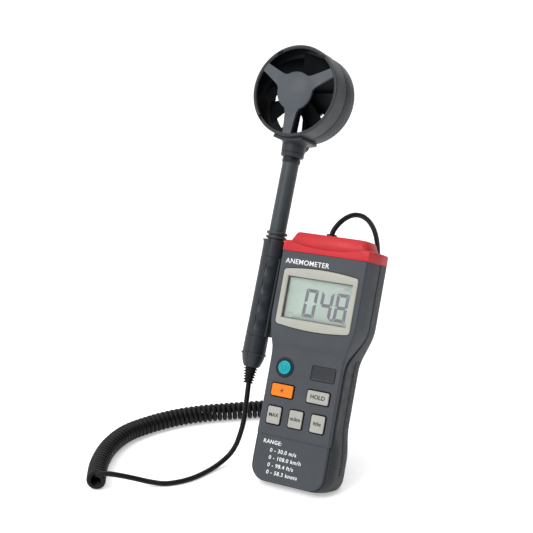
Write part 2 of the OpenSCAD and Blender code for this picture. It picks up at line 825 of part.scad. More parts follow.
module rotor_blades() {
    color("#2a2c2f") on_wand() for (i = [0 : blade_count - 1])
        rotate([0, 360 * (i + 0.3) / blade_count, 0]) difference() {
            translate([0, 0, hub_r - 1.5]) rotate([0, 0, blade_angle]) slab(-blade_t / 2, blade_t / 2)
                polygon([[-blade_root / 2, 0], [blade_root / 2, 0],
                    [blade_tip / 2, blade_len], [-blade_tip / 2, blade_len]]);
            slab(-ring_d, ring_d) circle(hub_r);
        }
}

module rotor_shaft() {
    tip = ring_d / 2 - spider_t - boss_d + 2.6;
    color("silver") on_wand() slab(-tip, tip) circle(shaft_r);
}

module rotor_magnet() {
    color("#55585c") on_wand() slab(6, 7.6) difference() {
        circle(5);
        circle(shaft_r + 0.4);
    }
}

module pickup_sensor() {
    back = ring_d / 2 - spider_t;
    color("#1c1d1f") on_wand() block([5, 8.4, -3], [11, back, 3]);
}

module head_saddle() {
    color("#3f4347") on_wand() difference() {
        union() {
            block([-11, -13, saddle_low], [11, 13, -ring_r + 4]);
            block([-5, 13, saddle_low - 2], [5, 15.6, -ring_r + 4]);
        }
        slab(-ring_d, ring_d) circle(ring_r, $fn = 96);
        slab(14, ring_d) translate([0, saddle_low + 1]) circle(1.2, $fn = 24);
    }
}

module saddle_screw() {
    color("silver") on_wand() {
        slab(14, 15.8) translate([0, saddle_low + 1]) circle(1.2, $fn = 24);
        slab(15.6, 16.6) translate([0, saddle_low + 1]) circle(2, $fn = 24);
    }
}

module neck_collar() {
    color("#3f4347") on_wand() difference() {
        translate([0, 0, collar_low]) cylinder(r1 = 8.5, r2 = 9.1, h = saddle_low - collar_low);
        translate([0, 0, collar_low - over]) cylinder(r = stem_r, h = 6 + over);
    }
}

module neck_ring() {
    color("#1f2124") on_wand() translate([0, 0, neck_low]) difference() {
        cylinder(r = stem_r + 0.6, h = collar_low - neck_low);
        translate([0, 0, -over]) cylinder(r = stem_r, h = collar_low - neck_low + 2 * over);
    }
}

module stem_tube() {
    color("#3d4145") on_wand() translate([0, 0, stem_low]) difference() {
        cylinder(r = stem_r, h = collar_low + 6 - stem_low);
        translate([0, 0, -over]) cylinder(r = stem_r - 1.2, h = collar_low - stem_low + 4);
    }
}

module stem_rings() {
    color("#1f2124") on_wand() for (z = [handle_top + 5.4, handle_top + 2.2])
        translate([0, 0, z]) difference() {
            cylinder(r = stem_r + 1.6, h = 2, center = true);
            cylinder(r = stem_r, h = 2 * over + 2, center = true);
        }
}

// Handle -------------------------------------------------------------------------------------

// Both halves of the handle, whole
module handle_body() {
    flare = handle_r + 0.8;
    difference() {
        rotate_extrude() polygon([
            [0, bell_low], [5.2, bell_low], [handle_r - 1.4, bell_low + 2.6],
            [handle_r - 0.2, flange_z - 1.6], [handle_r + 1, flange_z - 0.6],
            [handle_r + 1, flange_z + 0.6], [handle_r, flange_z + 0.6], [handle_r, handle_top - 3],
            [flare, handle_top - 0.8], [flare, handle_top], [0, handle_top]]);
        difference() {
            translate([0, 0, bell_low + 4])
                cylinder(r = handle_r - handle_wall, h = handle_top - bell_low - 8);
            for (z = handle_screw_z) cross_pin([0, 0, z], handle_boss_r, 2 * handle_r);
        }
        translate([0, 0, stem_low]) cylinder(r = stem_r, h = handle_top - stem_low + over);
        translate([0, 0, bell_low - over]) cylinder(r = 3, h = 8);
        translate([0, 0, bell_low + 1.6]) cylinder(r = 4.4, h = 3);
        for (z = handle_screw_z) {
            cross_pin([0, 0, z], handle_screw_r, 2 * (handle_r - 2.4));
            translate([-handle_r - over, 0, z]) rotate([0, 90, 0]) cylinder(r = 2.2, h = over + 2.6);
            translate([-handle_r, 0, z]) rotate([0, 90, 0]) cylinder(r = handle_screw_r, h = handle_r);
        }
    }
}

module handle_left() {
    color("#33373b") on_wand() intersection() {
        handle_body();
        block([-30, -30, boot_low], [0, 30, 0]);
    }
}

module handle_right() {
    color("#2e3236") on_wand() intersection() {
        handle_body();
        block([0, -30, boot_low], [30, 30, 0]);
    }
}

module handle_screws() {
    color("silver") on_wand() for (z = handle_screw_z) {
        translate([2.6 - handle_r, 0, z]) rotate([0, 90, 0])
            cylinder(r = handle_screw_r, h = 2 * handle_r - 5);
        translate([1.2 - handle_r, 0, z]) rotate([0, 90, 0]) cylinder(r = 2, h = 1.4);
    }
}

module signal_board() {
    color("#1f6b45") on_wand() block([-0.8, -5, -180], [0.8, 5, -138]);
}

// Ribbed boot that takes the lead into the handle
module strain_relief() {
    rib_count = 5;
    boot_len = bell_low - boot_low;
    step = boot_len / rib_count;
    color("#1b1c1e") on_wand() difference() {
        union() {
            translate([0, 0, bell_low + 1.6]) cylinder(r = 4.4, h = 2.4);
            translate([0, 0, bell_low]) cylinder(r = 3, h = 2);
            for (i = [0 : rib_count - 1]) {
                r = mix(3.6, 5.1, (i + 0.5) / rib_count);
                translate([0, 0, boot_low + i * step]) cylinder(r = r, h = step * 0.62);
                translate([0, 0, boot_low + i * step]) cylinder(r = r - 0.8, h = step + 0.01);
            }
        }
        translate([0, 0, boot_low + 2]) cylinder(r = wire_d / 2, h = boot_len + 4);
    }
}

// Lead ---------------------------------------------------------------------------------------

module cord_loop() {
    moved = stood([gland_x, gland_y, cap_top + gland_h]) - gland_home;
    color("#141516") tube(start_moved(loop_route, moved, 10), wire_d / 2, 8);
}

module cord_curl() color("#141516") tube(curl_route, curl_d / 2, 12);
module cord_tail() {
    moved = wand_point(boot_low) - boot_home;
    color("#141516") tube(end_moved(tail_route, moved, 4), wire_d / 2, 8);
}

front_case();
rear_case();
top_cap();
cable_gland();
case_screws();
side_grips();
probe_clip();
lcd_bezel();
lcd_window();
lcd_panel();
lcd_backlight();
lcd_connectors();
main_board();
board_chips();
keypad_mat();
button_ring();
name_plate();
battery();
battery_snap();
power_button();
light_key();
hold_key();
mode_key();
metric_key();
imperial_key();
tilt_stand();
battery_door();
head_ring_front();
head_ring_rear();
front_spider();
rear_spider();
front_bearing();
rear_bearing();
pickup_sensor();
head_saddle();
saddle_screw();
neck_collar();
neck_ring();
stem_tube();
stem_rings();
handle_left();
handle_right();
handle_screws();
signal_board();
strain_relief();
rotor_hub();
rotor_blades();
rotor_shaft();
rotor_magnet();
cord_loop();
cord_curl();
cord_tail();
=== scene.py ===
import json
import math

import bmesh
import bpy
from mathutils import Matrix, Vector


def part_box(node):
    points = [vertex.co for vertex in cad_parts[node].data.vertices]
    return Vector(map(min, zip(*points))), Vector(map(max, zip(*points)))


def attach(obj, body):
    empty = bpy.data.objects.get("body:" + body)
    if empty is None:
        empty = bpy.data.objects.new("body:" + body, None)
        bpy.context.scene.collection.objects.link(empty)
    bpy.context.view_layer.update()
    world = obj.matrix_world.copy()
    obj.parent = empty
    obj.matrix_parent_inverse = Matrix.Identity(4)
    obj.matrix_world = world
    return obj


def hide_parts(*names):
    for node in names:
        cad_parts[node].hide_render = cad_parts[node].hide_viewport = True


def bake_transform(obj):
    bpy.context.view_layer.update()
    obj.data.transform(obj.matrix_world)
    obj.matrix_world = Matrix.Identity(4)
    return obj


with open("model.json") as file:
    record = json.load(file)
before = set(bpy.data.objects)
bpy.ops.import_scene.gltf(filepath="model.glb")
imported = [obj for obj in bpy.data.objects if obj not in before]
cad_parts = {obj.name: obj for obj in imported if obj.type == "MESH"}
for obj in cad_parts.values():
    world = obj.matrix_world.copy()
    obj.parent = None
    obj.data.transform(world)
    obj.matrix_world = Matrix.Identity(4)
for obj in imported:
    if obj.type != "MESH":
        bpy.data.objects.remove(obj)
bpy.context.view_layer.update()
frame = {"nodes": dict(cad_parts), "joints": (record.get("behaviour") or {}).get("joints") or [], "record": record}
scene = bpy.context.scene
joints = {j["name"]: j for j in frame["joints"]}

# Camera ----------------------------------------------------
# It looks at the meter from its right and from a little above.
CAM_AZIMUTH = math.radians(30.04)
CAM_ELEVATION = math.radians(15.41)
CAM_DISTANCE = 0.8832
CAM_TARGET = Vector((-0.0154, -0.0210, 0.1637))
CAM_LENS = 87.8


def linked(name, data):
    made = bpy.data.objects.new(name, data)
    scene.collection.objects.link(made)
    return made


def add_camera():
    data = bpy.data.cameras.new("camera")
    data.lens = CAM_LENS
    data.sensor_width = 36
    data.clip_start = 0.01
    data.clip_end = 20
    camera = linked("camera", data)
    outward = Vector((math.sin(CAM_AZIMUTH) * math.cos(CAM_ELEVATION),
                      -math.cos(CAM_AZIMUTH) * math.cos(CAM_ELEVATION),
                      math.sin(CAM_ELEVATION)))
    camera.location = CAM_TARGET + outward * CAM_DISTANCE
    camera.rotation_mode = "QUATERNION"
    camera.rotation_quaternion = (-outward).to_track_quat("-Z", "Y")
    scene.camera = camera


add_camera()

# Local frames, in millimetres ------------------------------
# CASE: x to the right, y back from the front face, z up from the case's bottom.
# WAND: about the vane head's middle, with z up along the wand's stem.
MM = 0.001
back = Vector(joints["power_press"]["axis"]).normalized()
up = Vector((0, -back.z, back.y))


def lowest(node, direction):
    return min(v.co.dot(direction) for v in frame["nodes"][node].data.vertices)


def axes(x, y, z, origin):
    columns = Matrix((x * MM, y * MM, z * MM)).transposed().to_4x4()
    return Matrix.Translation(origin) @ columns


CASE = axes(Vector((1, 0, 0)), back, up,
            back * lowest("front_case", back) + up * lowest("front_case", up))
head = Vector(joints["rotor_spin"]["pos_m"])


def middle(node):
    low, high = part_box(node)
    return (low + high) / 2


def wand_axes():
    down = middle("stem_tube") - head
    along = -(down - back * down.dot(back)).normalized()
    return axes(back.cross(along), back, along, head)


WAND = wand_axes()


def local_box(node, space=CASE):
    """Lowest and highest corner of a CAD node in a local frame."""
    inverse = space.inverted()
    points = [inverse @ v.co for v in frame["nodes"][node].data.vertices]
    return (Vector([min(p[i] for p in points) for i in range(3)]),
            Vector([max(p[i] for p in points) for i in range(3)]))


def front_view(node):
    """A CAD node seen from the front: middle x and z, width, height, and its front and back y."""
    low, high = local_box(node)
    return ((low.x + high.x) / 2, (low.z + high.z) / 2, high.x - low.x, high.z - low.z,
            low.y, high.y)


# Cords -----------------------------------------------------
WIRE_D = 3.8
CURL_D = 14.2
CURL_TURNS = 57
POINTS_PER_TURN = 16
ROUTE_STEPS = 4
loop_route = [
    [-5, 55.6, 170.8], [-4.4, 57, 173.6], [-3, 59.2, 176.6], [-1, 62.2, 179.6], [1.4, 67, 182],
    [4, 73, 182.8], [6.6, 80, 181], [8.8, 86, 177], [10.2, 91, 171.6], [10.9, 95.2, 165],
    [11, 98.6, 157], [10.6, 101, 148], [9.6, 103, 138], [8, 104.6, 127], [6, 106, 116],
    [3.6, 107.2, 105], [1, 108.4, 94], [-2, 109.5, 83], [-5.4, 110.6, 72], [-9.2, 111.7, 61],
    [-13.4, 112.8, 50], [-18.2, 113.8, 39.6], [-23.8, 114.5, 29.8], [-30.6, 114.6, 21],
    [-38.6, 113.8, 14], [-47.4, 111.8, 9.4], [-56, 109, 7.4], [-64, 105.4, 7.1]
]
curl_route = [
    [-64, 105.4, 7.1], [-80, 97, 7.1], [-99, 81.5, 7.1], [-121, 61, 7.1], [-136, 41, 7.1],
    [-146, 18, 7.1], [-150.5, -5, 7.1], [-146, -32, 7.1], [-134, -60, 7.1], [-118, -85, 7.1]
]
tail_route = [
    [-118, -85, 12.2], [-111, -80.4, 12.6], [-103.6, -73.6, 10], [-97, -66.6, 6.6],
    [-89, -60.6, 3.6], [-80, -55, 2], [-72.6, -47, 1.9], [-67.8, -37, 1.9], [-65.4, -26, 1.9],
    [-63.8, -16, 2.4], [-61.8, -7, 4.4], [-58.8, -0.4, 8.6], [-55.8, 3.4, 15],
    [-53.6, 5.8, 23], [-52, 7.8, 31.5], [-51.6, 10.2, 41], [-51.6, 12.6, 50], [-51.6, 15.2, 60.7]
]


def smooth(route, steps):
    """A smooth curve through the route's points."""
    p = [Vector(q) for q in route]
    out = []
    for i in range(len(p) - 1):
        a, b = p[max(i - 1, 0)], p[i]
        c, d = p[i + 1], p[min(i + 2, len(p) - 1)]
        for s in range(steps):
            t = s / steps
            out.append(0.5 * (2 * b + (c - a) * t + (2 * a - 5 * b + 4 * c - d) * t * t
                              + (3 * b - a - 3 * c + d) * t * t * t))
    out.append(p[-1])
    return out


def length_of(points):
    return sum((b - a).length for a, b in zip(points, points[1:]))


def evenly(points, count):
    """The same line with its points evenly spaced."""
    total, out, walked, i = length_of(points), [points[0]], 0, 0
    for k in range(1, count):
        goal = total * k / count
        while walked + (points[i + 1] - points[i]).length < goal:
            walked += (points[i + 1] - points[i]).length
            i += 1
        share = (goal - walked) / (points[i + 1] - points[i]).length
        out.append(points[i].lerp(points[i + 1], share))
    out.append(points[-1])
    return out


def curls():
    """The curls' wire, wound round the middle line, which ends on top of the last turn."""
    count = CURL_TURNS * POINTS_PER_TURN
    line = evenly(smooth(curl_route, 24), count)
    radius = (CURL_D - WIRE_D) / 2
    out = []
    for i, p in enumerate(line):
        along = (line[min(i + 1, count)] - line[max(i - 1, 0)]).normalized()
        side = along.cross(Vector((0, 0, 1))).normalized()
        turn = 2 * math.pi * (i - count) / POINTS_PER_TURN
        grown = radius * min(1, i / POINTS_PER_TURN) ** 0.7
        out.append(p + grown * (math.cos(turn) * Vector((0, 0, 1)) + math.sin(turn) * side))
    return out


def tube(name, route, radius, sides):
    """Mesh tube along a route, closed at both ends."""
    rings, vertices, faces = len(route), [], []
    turned = None
    for i, p in enumerate(route):
        along = (route[min(i + 1, rings - 1)] - route[max(i - 1, 0)]).normalized()
        turned = along.orthogonal() if turned is None else turned - along * turned.dot(along)
        turned.normalize()
        other = along.cross(turned)
        for k in range(sides):
            a = 2 * math.pi * k / sides
            vertices.append(p + radius * (math.cos(a) * turned + math.sin(a) * other))
    for i in range(rings - 1):
        for k in range(sides):
            n = (k + 1) % sides
            faces.append((i * sides + k, i * sides + n, (i + 1) * sides + n, (i + 1) * sides + k))
    faces.append(tuple(range(sides))[::-1])
    faces.append(tuple(range((rings - 1) * sides, rings * sides)))
    mesh = bpy.data.meshes.new(name)
    mesh.from_pydata(vertices, [], faces)
    mesh.shade_smooth()
    mesh.set_sharp_from_angle(angle=math.radians(50))
    return linked(name, mesh)


def add_lead():
    """The curly part with its loop over the cap, and the tail, which ends in the wand."""
    line = [p * MM for p in smooth(loop_route, ROUTE_STEPS)[:-1] + curls()]
    lead = tube("curly_lead", line, WIRE_D / 2 * MM, 14)
    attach(lead, "case")
    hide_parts("cord_loop", "cord_curl")
    line = [p * MM for p in smooth(tail_route, ROUTE_STEPS)]
    tail = tube("lead_tail", line, WIRE_D / 2 * MM, 20)
    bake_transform(tail)
    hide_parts("cord_tail")
    return lead, tail


lead, tail = add_lead()


# Materials -------------------------------------------------
def fill(inputs, values):
    for socket, value in values.items():
        inputs[socket].default_value = value


def material(name, color, rough=0.5, metallic=0.0, grain=4200, depth=0.03, mottle=0.08,
             sheen=0.0, coat=0.0, transmission=0.0, lines=None, shine=0.3):
    """Moulded surface: a fine texture in the bump, and slow changes in colour and gloss. Lines
    are (direction, scale, strength) of fine parallel ridges."""
    made = bpy.data.materials.new(name)
    made.use_nodes = True
    nodes, links = made.node_tree.nodes, made.node_tree.links
    shader = nodes["Principled BSDF"]
    place = nodes.new("ShaderNodeTexCoord").outputs["Object"]

    def noise(scale, detail):
        n = nodes.new("ShaderNodeTexNoise")
        fill(n.inputs, {"Scale": scale, "Detail": detail})
        links.new(place, n.inputs["Vector"])
        return n.outputs["Fac"]

    cloud = noise(55, 4)
    speck = noise(grain, 2)
    ramp = nodes.new("ShaderNodeValToRGB")
    links.new(cloud, ramp.inputs["Fac"])
    for stop, position, tone in zip(ramp.color_ramp.elements, (0.3, 0.7), (1 - mottle, 1 + mottle)):
        stop.position = position
        stop.color = (*[min(1, c * tone) for c in color], 1)
    links.new(ramp.outputs["Color"], shader.inputs["Base Color"])
    gloss = nodes.new("ShaderNodeMapRange")
    fill(gloss.inputs, {"From Min": 0.3, "From Max": 0.7, "To Min": max(0.02, rough - 0.05),
                        "To Max": rough + 0.06})
    links.new(noise(160, 3), gloss.inputs["Value"])
    links.new(gloss.outputs["Result"], shader.inputs["Roughness"])
    fill(shader.inputs, {"Metallic": metallic, "Specular IOR Level": shine, "Sheen Weight": sheen,
                         "Coat Weight": coat, "Coat Roughness": 0.12,
                         "Transmission Weight": transmission})
    height = speck
    if lines:
        wave = nodes.new("ShaderNodeTexWave")
        wave.bands_direction = lines[0]
        fill(wave.inputs, {"Scale": lines[1], "Distortion": 0.3})
        links.new(place, wave.inputs["Vector"])
        both = nodes.new("ShaderNodeMath")
        both.operation = "MULTIPLY_ADD"
        both.inputs[1].default_value = lines[2]
        links.new(wave.outputs["Fac"], both.inputs[0])
        links.new(speck, both.inputs[2])
        height = both.outputs["Value"]
    bump = nodes.new("ShaderNodeBump")
    fill(bump.inputs, {"Strength": 0.35, "Distance": depth * MM})
    links.new(height, bump.inputs["Height"])
    links.new(bump.outputs["Normal"], shader.inputs["Normal"])
    return made


# name, colour, roughness, and what differs from material()'s defaults
FINISHES = [
    ("case_front", (0.048, 0.055, 0.064), 0.5, {}),
    ("case_rear", (0.021, 0.024, 0.028), 0.52, {}),
    ("cap_red", (0.50, 0.017, 0.024), 0.45, {"grain": 3000, "depth": 0.04}),
    ("black_rubber", (0.006, 0.006, 0.007), 0.6, {"shine": 0.2}),
    ("grip_rubber", (0.036, 0.039, 0.043), 0.6, {"shine": 0.25}),
    ("clip_plastic", (0.034, 0.037, 0.042), 0.45, {}),
    ("steel", (0.56, 0.56, 0.57), 0.3, {"metallic": 1, "lines": ("Z", 900, 2.0), "mottle": 0.04}),
    ("bezel_cream", (0.375, 0.377, 0.331), 0.42,
     {"grain": 5200, "mottle": 0.03, "lines": ("DIAGONAL", 260, 0.4)}),
    ("window_clear", (0.96, 0.98, 0.97), 0.03, {"transmission": 1, "depth": 0.002, "mottle": 0.01}),
    ("lcd_glass", (0.66, 0.78, 0.71), 0.35,
     {"grain": 2400, "depth": 0.01, "mottle": 0.025, "coat": 0.3}),
    ("lcd_ink", (0.24, 0.21, 0.27), 0.4, {"mottle": 0.06}),
    ("lcd_faint", (0.30, 0.35, 0.34), 0.4, {"mottle": 0.04}),
    ("light_guide", (0.85, 0.88, 0.85), 0.3, {"coat": 0.4}),
    ("connector_rubber", (0.20, 0.09, 0.20), 0.55, {"lines": ("X", 900, 3.0)}),
    ("circuit_board", (0.012, 0.11, 0.05), 0.35, {"mottle": 0.25, "coat": 0.3}),
    ("chip_black", (0.012, 0.012, 0.013), 0.5, {}),
    ("keypad_rubber", (0.46, 0.44, 0.39), 0.65, {"sheen": 0.1}),
    ("black_plastic", (0.007, 0.007, 0.008), 0.4, {}),
    ("plate_plastic", (0.022, 0.025, 0.030), 0.45, {}),
    ("battery_jacket", (0.05, 0.07, 0.10), 0.3, {"metallic": 0.4, "coat": 0.3}),
    ("key_teal", (0.003, 0.33, 0.38), 0.4, {"mottle": 0.04}),
    ("legend_teal", (0.002, 0.11, 0.15), 0.5, {"mottle": 0.04}),
    ("key_orange", (0.82, 0.19, 0.002), 0.45, {"mottle": 0.04}),
    ("key_cream", (0.36, 0.36, 0.33), 0.5, {"mottle": 0.05}),
    ("head_plastic", (0.026, 0.029, 0.034), 0.42, {"shine": 0.25}),
    ("spider_plastic", (0.064, 0.073, 0.085), 0.5, {}),
    ("stem_plastic", (0.042, 0.050, 0.056), 0.4, {}),
    ("handle_plastic", (0.021, 0.026, 0.032), 0.42, {}),
    ("rotor_plastic", (0.004, 0.005, 0.007), 0.4, {"shine": 0.15}),
    ("magnet_metal", (0.15, 0.15, 0.16), 0.45, {"metallic": 0.8}),
    ("lead_jacket", (0.0035, 0.0037, 0.0045), 0.45, {"grain": 2200, "shine": 0.2}),
    ("print_white", (0.86, 0.87, 0.88), 0.5, {"mottle": 0.02}),
    ("print_dark", (0.010, 0.012, 0.022), 0.5, {"mottle": 0.03}),
    # painted shade for the head ring's bore and seam groove
    ("bore_painted_shade", (0.003, 0.0033, 0.004), 0.7, {"shine": 0.03}),
    # black walls of the display's well, and painted shade on the keys' sides
    ("well_black_and_painted_shade", (0.012, 0.013, 0.014), 0.6, {}),
]


mats = {name: material(name, color, rough, **other)
        for name, color, rough, other in FINISHES}
lead.data.materials.append(mats["lead_jacket"])
tail.data.materials.append(mats["lead_jacket"])


# Mesh building ---------------------------------------------
def build(name, vertices, faces, space=CASE):
    mesh = bpy.data.meshes.new(name)
    mesh.from_pydata([space @ Vector(v) for v in vertices], [], faces)
    bm = bmesh.new()
    bm.from_mesh(mesh)
    bmesh.ops.remove_doubles(bm, verts=bm.verts, dist=1e-7)
    bmesh.ops.recalc_face_normals(bm, faces=bm.faces)
    bm.to_mesh(mesh)
    bm.free()
    return linked(name, mesh)


def bake(piece):
    """Makes the modifiers' result the piece's mesh."""
    bpy.context.view_layer.update()
    shown = piece.evaluated_get(bpy.context.evaluated_depsgraph_get())
    mesh = bpy.data.meshes.new_from_object(shown)
    piece.modifiers.clear()
    piece.data = mesh


def merge(piece, *tools, cut=False):
    for tool in tools:
        change = piece.modifiers.new("merge", "BOOLEAN")
        change.operation = "DIFFERENCE" if cut else "UNION"
        change.solver = "EXACT"
        change.object = tool
        bake(piece)
        bpy.data.objects.remove(tool)
    return piece


def join(*pieces):
    """One object from several, with each one's own material kept."""
    first = pieces[0]
    bm = bmesh.new()
    for piece in pieces:
        for m in piece.data.materials:
            if m.name not in first.data.materials:
                first.data.materials.append(m)
        start = len(bm.faces)
        bm.from_mesh(piece.data)
        bm.faces.ensure_lookup_table()
        if piece.data.materials:
            index = first.data.materials.find(piece.data.materials[0].name)
            for f in bm.faces[start:]:
                f.material_index = index
    bm.to_mesh(first.data)
    bm.free()
    for piece in pieces[1:]:
        bpy.data.objects.remove(piece)
    return first


def soften(piece, width, angle):
    """Small round edges."""
    round_off = piece.modifiers.new("round_off", "BEVEL")
    round_off.width = width * MM
    round_off.segments = 2
    round_off.limit_method = "ANGLE"
    round_off.angle_limit = math.radians(angle)
    round_off.miter_outer = "MITER_ARC"
    bake(piece)
    return piece


def place(piece, body, finish, *nodes, sharp=38):
    """Gives a finished piece its material, its body and the nodes that it stands for."""
    if not piece.data.materials:
        piece.data.materials.append(mats[finish])
    piece.data.shade_smooth()
    piece.data.set_sharp_from_angle(angle=math.radians(sharp))
    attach(piece, body)
    if nodes:
        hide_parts(*nodes)
    return piece


def shade(piece, finish, inside, space=CASE):
    """Gives a second material, painted shade, to the faces whose middles are inside."""
    piece.data.materials.append(mats[finish])
    inverse = space.inverted()
    for face in piece.data.polygons:
        if inside(inverse @ face.center):
            face.material_index = len(piece.data.materials) - 1


def revolve(name, profile, space, axis="z", at=(0, 0, 0), sides=72):
    """Surface of revolution. The profile lists (radius, distance along the axis) and is closed."""
    rows = len(profile)
    vertices, faces = [], []
    for k in range(sides):
        a = math.radians(360 * k / sides)
        for r, d in profile:
            x, y = r * math.cos(a), r * math.sin(a)
            p = {"z": (x, y, d), "y": (x, d, y), "x": (d, x, y)}[axis]
            vertices.append((p[0] + at[0], p[1] + at[1], p[2] + at[2]))
        n = (k + 1) % sides
        for i in range(rows):
            j = (i + 1) % rows
            if profile[i][0] > 0 or profile[j][0] > 0:
                faces.append((k * rows + i, k * rows + j, n * rows + j, n * rows + i))
    return build(name, vertices, faces, space)


def loft(name, rings, space=CASE, closed=False):
    """Solid through rings with the same number of points."""
    n, vertices, faces = len(rings[0]), [p for ring in rings for p in ring], []
    last = len(rings) if closed else len(rings) - 1
    for i in range(last):
        j = (i + 1) % len(rings)
        for k in range(n):
            m = (k + 1) % n
            faces.append((i * n + k, i * n + m, j * n + m, j * n + k))
    if not closed:
        faces.append(tuple(range(n)))
        faces.append(tuple(range((len(rings) - 1) * n, len(rings) * n)))
    return build(name, vertices, faces, space)


def prism(name, outline, y0, y1, space=CASE):
    """Outline in x and z, with its depth from y0 to y1."""
    return loft(name, [[(x, y, z) for x, z in outline] for y in (y0, y1)], space)


def block(name, low, high, space=CASE):
    return prism(name, [(low[0], low[2]), (high[0], low[2]), (high[0], high[2]), (low[0], high[2])],
                 low[1], high[1], space)


def rounded(w, h, r, steps=6, bulge=0.0):
    """Rounded rectangle about the origin. Bulge arches its top and bottom edges."""
    out = []
    for cx, cz, start in ((1, 1, 0), (-1, 1, 90), (-1, -1, 180), (1, -1, 270)):
        for s in range(steps + 1):
            a = math.radians(start + 90 * s / steps)
            out.append((cx * (w / 2 - r) + r * math.cos(a),
                        cz * (h / 2 - bulge - r) + r * math.sin(a)))
        if bulge and cx * cz > 0:
            run = w / 2 - r
            for s in range(1, 12):
                x = run * (1 - 2 * s / 12) * cx
                out.append((x, cz * (h / 2 - bulge * (x / run) ** 2)))
    return out


def disc(x, z, r, y0, y1, sides=40):
    return revolve("disc", [(0, y0), (r, y0), (r, y1), (0, y1)], CASE, "y", (x, 0, z), sides)


def around(outline, cx, cz):
    return [(cx + x, cz + z) for x, z in outline]


def ease(t):
    return (1 - math.cos(math.pi * min(1, max(0, t)))) / 2


def mix(a, b, t):
    return a + (b - a) * t


# Case ------------------------------------------------------
rear_high = local_box("rear_case")[1]
front_high = local_box("front_case")[1]
bezel_low, bezel_high = local_box("lcd_bezel")
BODY_H = front_high.z
CASE_D = rear_high.y
TOP_HALF = rear_high.x
WAIST_HALF, LOW_HALF, CORNER = 30, 33, 12
BACK_R = 9
SHOULDER = (BODY_H - 77, BODY_H - 45)
HIP = (24, 50)
WALL = 2.2
SEAM_GAP = 0.15
EDGE_Y = 1.4        # depth of the face's rounded edge
TOP_INSET = 3.4     # the flat face's inset at the display
KEY_SKIRT = 0.9
BUTTON_RIM = 2.3
ARCH = 1.9          # rise of the display frame's top and bottom edges
PAD_Y, PANEL_Y, PANEL_Z = 0.8, 2.0, 33.5
# Heights of the side's points, closer together where the face steps or the side curves.
SIDE_LEVELS = [15, 19, 22, 24, 27, 30, 32, 33.1, 33.3, 33.7, 33.9, 35, 38, 41, 44, 47, 50, 55,
               62, 70, 78, 84, 88.5, 92, 94, 95.6, 96.4, 97, 97.6, 98.4, 99.6, 101, 103, 106,
               109, 112, 115, 118, 120.5, 124, 132, 141, 150, 157.3, 157.7, 161, BODY_H]
ARC_STEPS = 9
COUNT = ARC_STEPS + len(SIDE_LEVELS)


def shoulder_share(z):
    return ease((z - SHOULDER[0]) / (SHOULDER[1] - SHOULDER[0]))


def foot_share(z):
    return 1 - ease((z - HIP[0]) / (HIP[1] - HIP[0]))


def half_width(z):
    low = mix(LOW_HALF, WAIST_HALF, ease((z - HIP[0]) / (HIP[1] - HIP[0])))
    return mix(low, TOP_HALF, shoulder_share(z))


def side_point(k, dx, dz):
    """Point k of the right side's outline, set in by dx at the side and dz at the bottom."""
    if k < ARC_STEPS:
        a = math.radians(-90 + 90 * k / ARC_STEPS)
        r = max(CORNER - dz, 3)
        return LOW_HALF - dx - r + r * math.cos(a), dz + r + r * math.sin(a)
    z = SIDE_LEVELS[k - ARC_STEPS]
    return half_width(z) - dx, z


def level(k):
    return 6 if k < ARC_STEPS else SIDE_LEVELS[k - ARC_STEPS]


def seam_y(z):
    return mix(4.6, 15.5, ease((z - SHOULDER[0] + 4) / (SHOULDER[1] - SHOULDER[0] - 1)))


def face_y(z):
    pad = PAD_Y * (1 - ease((z - 96) / 4.5))
    return mix(PANEL_Y, pad, ease((z - PANEL_Z + 0.3) / 0.6))


def ring(depth_and_inset, bottom):
    """One ring round the case: depth_and_inset(z) gives its depth and its inset there."""
    right = []
    for k in range(COUNT):
        y, dx = depth_and_inset(level(k))
        x, z = side_point(k, dx, bottom)
        right.append((x, y, z))
    return right + [(-x, y, z) for x, y, z in reversed(right)]


def sheet_faces(start, flip):
    """Strips across the case between its two sides."""
    faces = []
    for k in range(COUNT - 1):
        quad = (start + k, start + k + 1, start + 2 * COUNT - 2 - k, start + 2 * COUNT - 1 - k)
        faces.append(quad[::-1] if flip else quad)
    return faces


def shell(name, rings):
    """Closed shell: the first and last rings are filled across, the others joined in turn."""
    n = 2 * COUNT
    vertices = [p for r in rings for p in r]
    faces = sheet_faces(0, False) + sheet_faces((len(rings) - 1) * n, True)
    for i in range(len(rings) - 1):
        for k in range(n):
            m = (k + 1) % n
            faces.append((i * n + k, (i + 1) * n + k, (i + 1) * n + m, i * n + m))
    return build(name, vertices, faces)


def face_inset(z):
    """Inset of the face plate's flat edge."""
    low = mix(1.1, 3.6, foot_share(z)) + 0.9 * (1 - ease((z - PANEL_Z + 0.3) / 0.6))
    return mix(low, TOP_INSET, shoulder_share(z))


def front_rings():
    """Rings from the flat face over its edge to the seam, and back inside the wall."""
    rings = []
    for y, dx in ((0, 1.5), (0.06, 1.05), (0.3, 0.55), (0.75, 0.2), (EDGE_Y, 0)):
        rings.append(ring(lambda z: (face_y(z) + y, face_inset(z) + dx), 1 + dx))
    for share, dx in ((0.45, 0), (0.92, 0), (1, 0.25)):
        def flank(z):
            side = share * 0.93 * TOP_INSET * shoulder_share(z)
            return (mix(face_y(z) + EDGE_Y, seam_y(z) - SEAM_GAP, share),
                    face_inset(z) - side + dx)
        rings.append(ring(flank, 1 + dx))
    rings.append(ring(lambda z: (seam_y(z) - SEAM_GAP,
                                 face_inset(z) * 0.2 + WALL + 1.4 * (1 - shoulder_share(z))), 3))
    for y in (2.6, 2.2):
        rings.append(ring(lambda z: (face_y(z) + y, face_inset(z) + WALL + 0.2), 3.2))
    return rings


